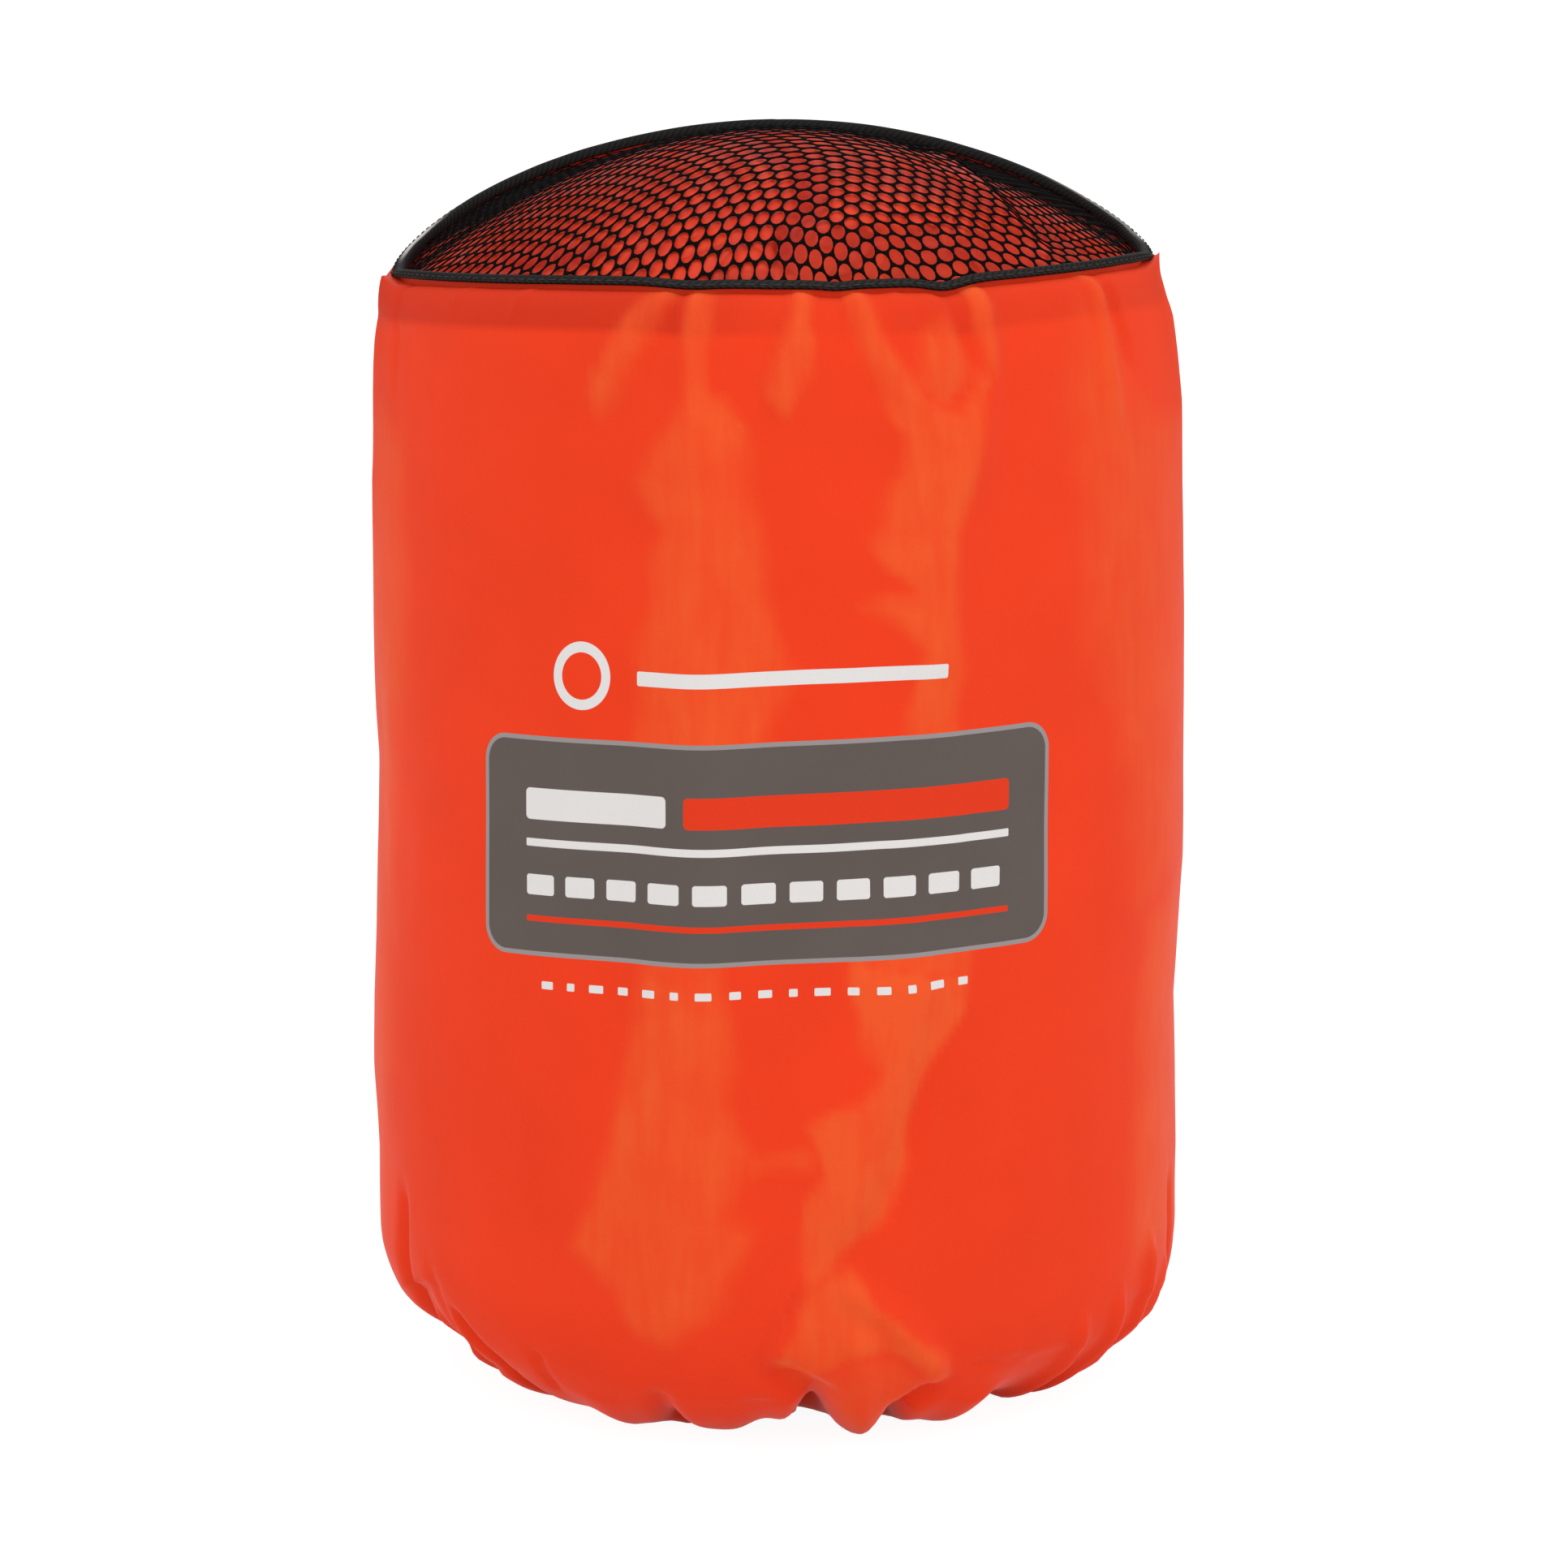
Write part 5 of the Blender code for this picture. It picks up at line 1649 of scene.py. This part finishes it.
def cloth_shift(soft):
    """How far Blender's Cloth moves each corner, when the cloth grows and is pushed out from inside."""
    rules = soft.modifiers.new("cloth", "CLOTH").settings
    rules.quality, rules.mass, rules.bending_stiffness = PUFF_QUALITY, PUFF_MASS, PUFF_BENDING
    rules.tension_stiffness = rules.compression_stiffness = PUFF_TENSION
    rules.use_pressure, rules.uniform_pressure_force = True, PUFF_PRESSURE
    rules.shrink_min = PUFF_GROWTH
    rules.vertex_group_mass = "firm"
    rules.effector_weights.gravity = 0
    for moment in range(1, PUFF_FRAMES + 1):
        bpy.context.scene.frame_set(moment)
    evaluated = soft.evaluated_get(bpy.context.evaluated_depsgraph_get())
    shift = corners(evaluated.data) - corners(soft.data)
    soft.modifiers.clear()
    bpy.context.scene.frame_set(1)
    return shift


def wrinkled(outline):
    """The bundle's outline, drawn in a little, grown with Blender's Cloth and evened out."""
    soft = new_object("bundle_cloth", outline.data.copy())
    points = corners(soft.data)
    inward = PUFF_START * smooth((RIM_LEVEL - 2 * MM - points[:, 2]) / (14 * MM))
    points -= directions(soft.data) * inward[:, None]
    soft.data.vertices.foreach_set("co", points.ravel())
    remesh = soft.modifiers.new("remesh", "REMESH")
    remesh.mode, remesh.voxel_size = "VOXEL", PUFF_VOXEL
    applied(soft)
    still = corners(soft.data)
    soft.vertex_groups.new(name="firm").add(firm_corners(still), 1.0, "REPLACE")
    shift = cloth_shift(soft)
    length = np.linalg.norm(shift, axis=1, keepdims=True)
    shift *= np.minimum(1, PUFF_CAP / np.maximum(length, 1e-9))
    shift = np.stack([averaged(soft.data, part, PUFF_EVENING) for part in shift.T], axis=1)
    soft.data.vertices.foreach_set("co", (still + shift).ravel())
    finer = soft.modifiers.new("finer", "SUBSURF")
    finer.levels = finer.render_levels = 1
    print("cloth moved by", round(length.mean() * 1000, 2), "mm, at most", round(length.max() * 1000, 1))
    return applied(soft)


# %% [markdown]
# ## Keeping the bundle in its outline
# The grown cloth is pushed back inside its first outline, clear of the sack, and never lies deep.
# It gets a few placed creases on top, and each corner gets painted shade by how deep its hollow is
# and how near a placed crease it lies.

# %% Keeping the bundle in its outline
DEPTH_LIMIT = 2.7 * MM
INSIDE_GAP = 0.05 * MM
RIPPLE_DEPTH = 0.5 * MM
HOLLOW_STEPS = 40
HOLLOW_SHADE = 0.35
CREASE_SHADE = 0.8
CREASE_DEPTH = 2.0 * MM
CREASE_WIDTH = 1.8 * MM
SHELTER_CREASES = [
    [(-6, -8), (-4, -17), (0.5, -29), (5, -38.5), (5.5, -45), (4.0, -50), (1.0, -54)],
    [(-44, -36), (-38, -42), (-30, -47)], [(-20, -20), (-8, -14), (6, -12)], [(20, -8), (24, 4), (20, 18)],
]


def surface_of(made):
    """A search tree over an object's faces."""
    faces = [face.vertices[:] for face in made.data.polygons]
    return BVHTree.FromPolygons([corner.co for corner in made.data.vertices], faces)


def crease_share(points):
    """1 in the middle of the creases on the bundle's top, fading away from them."""
    share = np.zeros(len(points))
    for path in SHELTER_CREASES:
        nearest, _, _ = from_path(np.array(path) * MM, points[:, 0], points[:, 1])
        share = np.maximum(share, hump(nearest, CREASE_WIDTH))
    return share * (points[:, 2] > TOP_EDGE)


def kept_inside(soft, outline):
    """Moves points that stand out of the outline back onto it, adds creases, and paints shade into the
    hollows and creases.
    """
    flat = surface_of(outline)
    points = corners(soft.data)
    for number, corner in enumerate(soft.data.vertices):
        spot, normal, _, _ = flat.find_nearest(corner.co)
        if (corner.co - spot).dot(normal) > -INSIDE_GAP:
            points[number] = spot - normal * INSIDE_GAP
    radius, angle, height = polar_of(points)
    place, level = angle / (2 * math.pi) % 1, np.clip(height / RIM_LEVEL, 0, 1)
    ripple = soft_noise(place, level, 71, 46, 9) + 0.6 * soft_noise(place, level, 72, 90, 26)
    inner = smooth((NET_RADIUS - 6 * MM - radius) / (8 * MM)) * (height > 0.1)
    crease = crease_share(points)
    drop = RIPPLE_DEPTH * np.clip(ripple + 0.2, 0, 2) * (1 - inner) + CREASE_DEPTH * crease
    points -= directions(soft.data) * drop[:, None]
    sunk = np.zeros(len(points))
    for number, point in enumerate(points):
        spot, normal, _, _ = flat.find_nearest(point)
        deep = max((spot - Vector(point)).dot(normal), 0)
        sunk[number] = DEPTH_LIMIT * math.tanh(deep / DEPTH_LIMIT)
        points[number] = spot - normal * sunk[number]
    soft.data.vertices.foreach_set("co", points.ravel())
    hollow = sunk - averaged(soft.data, sunk, HOLLOW_STEPS)
    shade = HOLLOW_SHADE * smooth((hollow - 0.05 * MM) / (0.8 * MM))
    # Painted shade: hollows and placed creases are marked for the material to darken.
    mark(soft.data, "crease", np.maximum(shade, CREASE_SHADE * crease))
    mean, most = round(sunk.mean() * 1000, 2), round(sunk.max() * 1000, 1)
    print("bundle's cloth lies", mean, "mm deep, at most", most)
    return soft


def finished_bundle(outline):
    """The wrinkled bundle."""
    soft = kept_inside(wrinkled(outline), outline)
    soft.data.materials.clear()
    soft.data.materials.append(SHELTER_CLOTH)
    outline.data = soft.data
    bpy.data.objects.remove(soft)
    outline.data.shade_smooth()
    return outline


bundle = finished_bundle(bundle)
bundle_surface = surface_of(bundle)
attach(bundle, "shelter")
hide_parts("canopy")
print("bundle:", len(bundle.data.polygons), "faces")

# %% [markdown]
# ## Folded pieces in the roll
# The seats, end panels, windows, air sleeves and patches are rolled in with the canopy. Each is a
# sheet folded back and forth into a flat packet, which follows the roll's spiral. The packet's
# ends come from the frame, and a path that runs along one layer and back along the next makes
# the folds.

# %% Sheets from a path
ROLL_PITCH = 12.25 * MM
PACKET_STEP = 2.6 * MM
PACKET_ROWS = 25


def thin_sheet(name, middle, thickness, material, across, up):
    """A closed sheet round a grid of points, with a smooth wall on both faces."""
    normal = np.cross(np.gradient(middle, axis=0), np.gradient(middle, axis=1))
    normal /= np.maximum(np.linalg.norm(normal, axis=-1, keepdims=True), 1e-12)
    outer, inner = middle + normal * thickness / 2, middle - normal * thickness / 2
    made = shell(name, outer, inner, material, across, up, False)
    plane = bmesh.new()
    plane.from_mesh(made.data)
    bmesh.ops.recalc_face_normals(plane, faces=plane.faces)
    plane.to_mesh(made.data)
    plane.free()
    return made


def packet_path(length, thickness, cloth, layers):
    """A path along every layer in turn: how far along the roll, and how far out."""
    gap = (thickness - cloth) / max(layers - 1, 1)
    start = gap / 2 if layers > 1 else 0
    run = np.arange(start, length - start, PACKET_STEP)
    turn = np.radians([-60, -20, 20, 60])
    along, out = [], []
    for layer in range(layers):
        side = 1 if layer % 2 == 0 else -1
        place = run[::side]
        level = cloth / 2 + gap * layer if layers > 1 else thickness / 2
        along.append(place)
        out.append(np.full(place.shape, level))
        if layer < layers - 1:
            along.append(place[-1] + side * gap / 2 * np.cos(turn))
            out.append(level + gap / 2 + gap / 2 * np.sin(turn))
    return np.concatenate(along), np.concatenate(out)


def packet(item, seed):
    """A folded piece that follows the roll from one end of its node to the other."""
    radii, angles, heights = polar_of(corners(nodes[item.node].data))
    inside, outside = radii.min(), radii.max() - item.thickness
    turns = (outside - inside) / ROLL_PITCH
    start, end = angles[np.argmin(radii)], angles[np.argmax(radii)]
    once = 2 * math.pi
    way = min((1, -1), key=lambda side: abs(round_gap(start + side * once * turns - end, once)))
    length = math.pi * turns * (inside + outside)
    along, out = packet_path(length, item.thickness, item.cloth, item.layers)
    share = along / length
    reach = np.sqrt(inside ** 2 + share * (outside ** 2 - inside ** 2))
    turned = turns * ((reach - inside) / (outside - inside))
    up = np.linspace(heights.max(), heights.min(), PACKET_ROWS)
    level = (up - heights.min()) / np.ptp(heights)
    place, level = np.broadcast_arrays(np.clip(share, 0, 1), level[:, None])
    room = (item.thickness - item.cloth) / max(item.layers, 2) * 0.25
    radius = inside + ROLL_PITCH * turned + out + room * soft_noise(place, level, seed, 9, 6, False)
    middle = at(radius, start + way * once * turned, up[:, None])
    developed = lengths_along(along, out)
    made = thin_sheet(item.name, middle, item.cloth, item.material, developed, up)
    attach(made, "shelter")
    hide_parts(item.node)
    return made


print("packets follow a roll with a pitch of", ROLL_PITCH * 1000, "mm")

# %% [markdown]
# ## Packets in the roll
# Each kind has a left and a right piece. A window's edges show the cloth that it is sewn into.

# %% Packets in the roll
FOLDED, THIN = 2.8 * MM, 1.0 * MM
WINDOW_BORDER = 8 * MM
Packet = namedtuple("Packet", "name node slot material layers thickness cloth")
KINDS = [
    ("air_sleeve", "vent_sleeve", "canopy_cloth", SHELTER_CLOTH, 4, FOLDED, 0.28 * MM),
    ("end_cloth", "end_panel", "canopy_cloth", SHELTER_CLOTH, 4, FOLDED, 0.28 * MM),
    ("seat_cloth", "seat_panel", "seat_cloth", SEAT_CLOTH, 3, FOLDED, 0.45 * MM),
    ("patch_cloth", "pole_patch", "seat_cloth", SEAT_CLOTH, 2, THIN, 0.40 * MM),
    ("window_film", "window", "window_film", WINDOW_FILM, 1, THIN, 0.30 * MM),
]
PACKETS = [Packet(f"{name}_{side}", f"{solid}_{side}", *rest) for name, solid, *rest in KINDS
           for side in ("left", "right")]
PACKETS.append(Packet("inner_strip", "reflective_strip_right", "reflective", STRIP_TAPE, 1, THIN, 0.35 * MM))


def add_border(mesh, width):
    """Gives a window's edges to the cloth that it is sewn into."""
    mesh.materials.append(SHELTER_CLOTH)
    places = np.zeros(len(mesh.loops) * 2)
    mesh.uv_layers["cloth"].data.foreach_get("uv", places)
    places = places.reshape(-1, 2)
    low, high = places.min(axis=0), places.max(axis=0)
    for face in mesh.polygons:
        spot = places[face.loop_start:face.loop_start + face.loop_total].mean(axis=0)
        if min((spot - low).min(), (high - spot).min()) < width:
            face.material_index = 1


for seed, item in enumerate(PACKETS):
    folded = packet(item, 80 + seed)
    if item.slot == "window_film":
        add_border(folded.data, WINDOW_BORDER)
    print(item.name, len(folded.data.polygons), "faces")

# %% [markdown]
# ## Strip and free edge on the bundle
# Two pieces lie on the bundle's outside: the reflective strip, and the turned hem of the
# shelter's free edge. Both have a row of stitches near each of their long edges.

# %% Strip and free edge on the bundle
Strip = namedtuple("Strip", "name low high width angle lean thickness material row_inset")
_, angles, heights = polar_of(corners(nodes["reflective_strip_left"].data))
OUTER_STRIP = Strip("outer_strip", heights.min(), heights.max(), np.ptp(angles) * BUNDLE_RADIUS,
                    (angles.min() + angles.max()) / 2, 0.0, 0.30 * MM, STRIP_TAPE, 1.6 * MM)
FREE_EDGE = Strip("free_edge_hem", 30 * MM, 180 * MM, 11 * MM, math.radians(-34), 0.10, 0.45 * MM,
                  SHELTER_CLOTH, 1.5 * MM)
STITCH_LIFT = 0.62 * MM


def on_bundle(item, level, across, lift):
    """A point just outside the bundle, at a height and a distance across from a strip's middle."""
    angle = item.angle + item.lean * (level - item.low) / (item.high - item.low) + across / BUNDLE_RADIUS
    start = Vector((0.1 * math.sin(angle), -0.1 * math.cos(angle), level))
    spot, _, _, _ = bundle_surface.ray_cast(start, Vector((-start.x, -start.y, 0)).normalized())
    return at(math.hypot(spot.x, spot.y) + lift, angle, level)


def laid_strip(item, rows=60, columns=11):
    """A strip of cloth that lies upright on the bundle."""
    up = np.linspace(item.high, item.low, rows)
    across = np.linspace(-item.width / 2, item.width / 2, columns)
    lift = 0.15 * MM + item.thickness / 2
    middle = np.array([[on_bundle(item, level, gap, lift) for gap in across] for level in up])
    made = thin_sheet(item.name, middle, item.thickness, item.material, across, up)
    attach(made, "shelter")
    return made


def strip_seams():
    """Stitch rows near both edges of each strip."""
    return [[on_bundle(item, level, side * (item.width / 2 - item.row_inset), STITCH_LIFT)
             for level in np.linspace(item.low + 1.5 * MM, item.high - 1.5 * MM, 110)]
            for item in (OUTER_STRIP, FREE_EDGE) for side in (1, -1)]


outer_strip = laid_strip(OUTER_STRIP)
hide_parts("reflective_strip_left")
free_edge = laid_strip(FREE_EDGE)
shelter_stitches = stitched("shelter_stitches", strip_seams(), BLACK_THREAD, 2.6 * MM, 1.9 * MM, 0.26 * MM)
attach(shelter_stitches, "shelter")
print("strip", round(OUTER_STRIP.width * 1000, 1), "mm wide")
print("stitches:", len(shelter_stitches.data.polygons), "faces")

# %% [markdown]
# ## Stage and light
# A pale floor keeps the sack's soft shadow and shows white. Even light from all sides shows the
# cloth's colour about as it is, and two low strips and a big top lamp give the folds their shape.

# %% Stage and light
WHITE = (1.0, 1.0, 1.0, 1.0)
AMBIENT = 0.83
FLOOR_GLOW, FLOOR_SHARE = 1.25, 0.75
LOW_LAMP, TOP_LAMP = (0.07, 0.60), (0.9, 0.9)


def seen_rays(tree):
    """1 for rays from the camera, and for reflections and what is seen through clear film."""
    rays = node(tree, "ShaderNodeLightPath").outputs
    return math_node(tree, "MAXIMUM", rays["Is Camera Ray"],
                     math_node(tree, "MAXIMUM", rays["Is Glossy Ray"], rays["Is Transmission Ray"]))


def make_stage():
    """A pale floor that shows white to the camera and keeps a soft shadow."""
    made, tree, shader = new_material("pale_floor", (0.80, 0.80, 0.80), 0.9, Specular_IOR_Level=0.1)
    glow = node(tree, "ShaderNodeEmission", Color=WHITE, Strength=FLOOR_GLOW)
    share = math_node(tree, "MULTIPLY", seen_rays(tree), FLOOR_SHARE)
    blend = node(tree, "ShaderNodeMixShader", None, share, shader.outputs[0], glow.outputs[0])
    tree.links.new(blend.outputs[0], tree.nodes["Material Output"].inputs["Surface"])
    bpy.ops.mesh.primitive_plane_add(size=12, location=(0, 0, 0))
    floor = bpy.context.object
    floor.name = "floor"
    floor.data.materials.append(made)


def make_world():
    """White to the camera and in reflections, and a softer white as fill light."""
    world = bpy.data.worlds.new("studio")
    bpy.context.scene.world = world
    world.use_nodes = True
    tree = world.node_tree
    background = tree.nodes["Background"].inputs
    background["Color"].default_value = WHITE
    strength = math_node(tree, "MULTIPLY_ADD", seen_rays(tree), 1 - AMBIENT, AMBIENT)
    tree.links.new(strength, background["Strength"])


def soft_box(name, angle, distance, height, size, power, aim):
    """A rectangular lamp at an angle from the front, which looks at the sack."""
    lamp = bpy.data.lights.new(name, "AREA")
    lamp.shape = "RECTANGLE"
    lamp.size, lamp.size_y = size
    lamp.energy = power
    made = new_object(name, lamp)
    made.location = at(distance, math.radians(angle), height)
    made.rotation_euler = (Vector((0, 0, aim)) - made.location).to_track_quat("-Z", "Y").to_euler()
    made.visible_camera = False


def dark_flag(name, angle, distance, width, height):
    """A dark card beside the sack. Only reflections see it, so that its edges don't shine."""
    made, _, _ = new_material(name, (0.01, 0.01, 0.01), 0.9, Specular_IOR_Level=0.0)
    turn = math.radians(angle)
    middle = at(distance, turn, height / 2 + 0.01)
    across, up = at(width / 2, turn + math.pi / 2, 0), np.array([0, 0, height / 2])
    card = add_object(name, middle + np.array([-across - up, across - up, across + up, up - across]),
                      np.array([[0, 1, 2, 3]]), made)
    for ray in ("camera", "diffuse", "transmission", "shadow"):
        setattr(card, "visible_" + ray, False)


make_stage()
make_world()
soft_box("left_strip", -25, 0.55, 0.31, LOW_LAMP, 0.32, 0.31)
soft_box("right_strip", 49, 0.55, 0.31, LOW_LAMP, 0.30, 0.31)
soft_box("top_box", 10, 0.8, 1.6, TOP_LAMP, 5.0, 0.1)
dark_flag("left_flag", -140, 0.8, 0.7, 1.2)
dark_flag("right_flag", 140, 0.8, 0.7, 1.2)

# %% [markdown]
# ## Solids still plain
# Every solid of the frame that no dressed piece hides yet is printed.

# %% Solids still plain
for name, solid in nodes.items():
    if not solid.hide_render:
        print("still plain:", name)
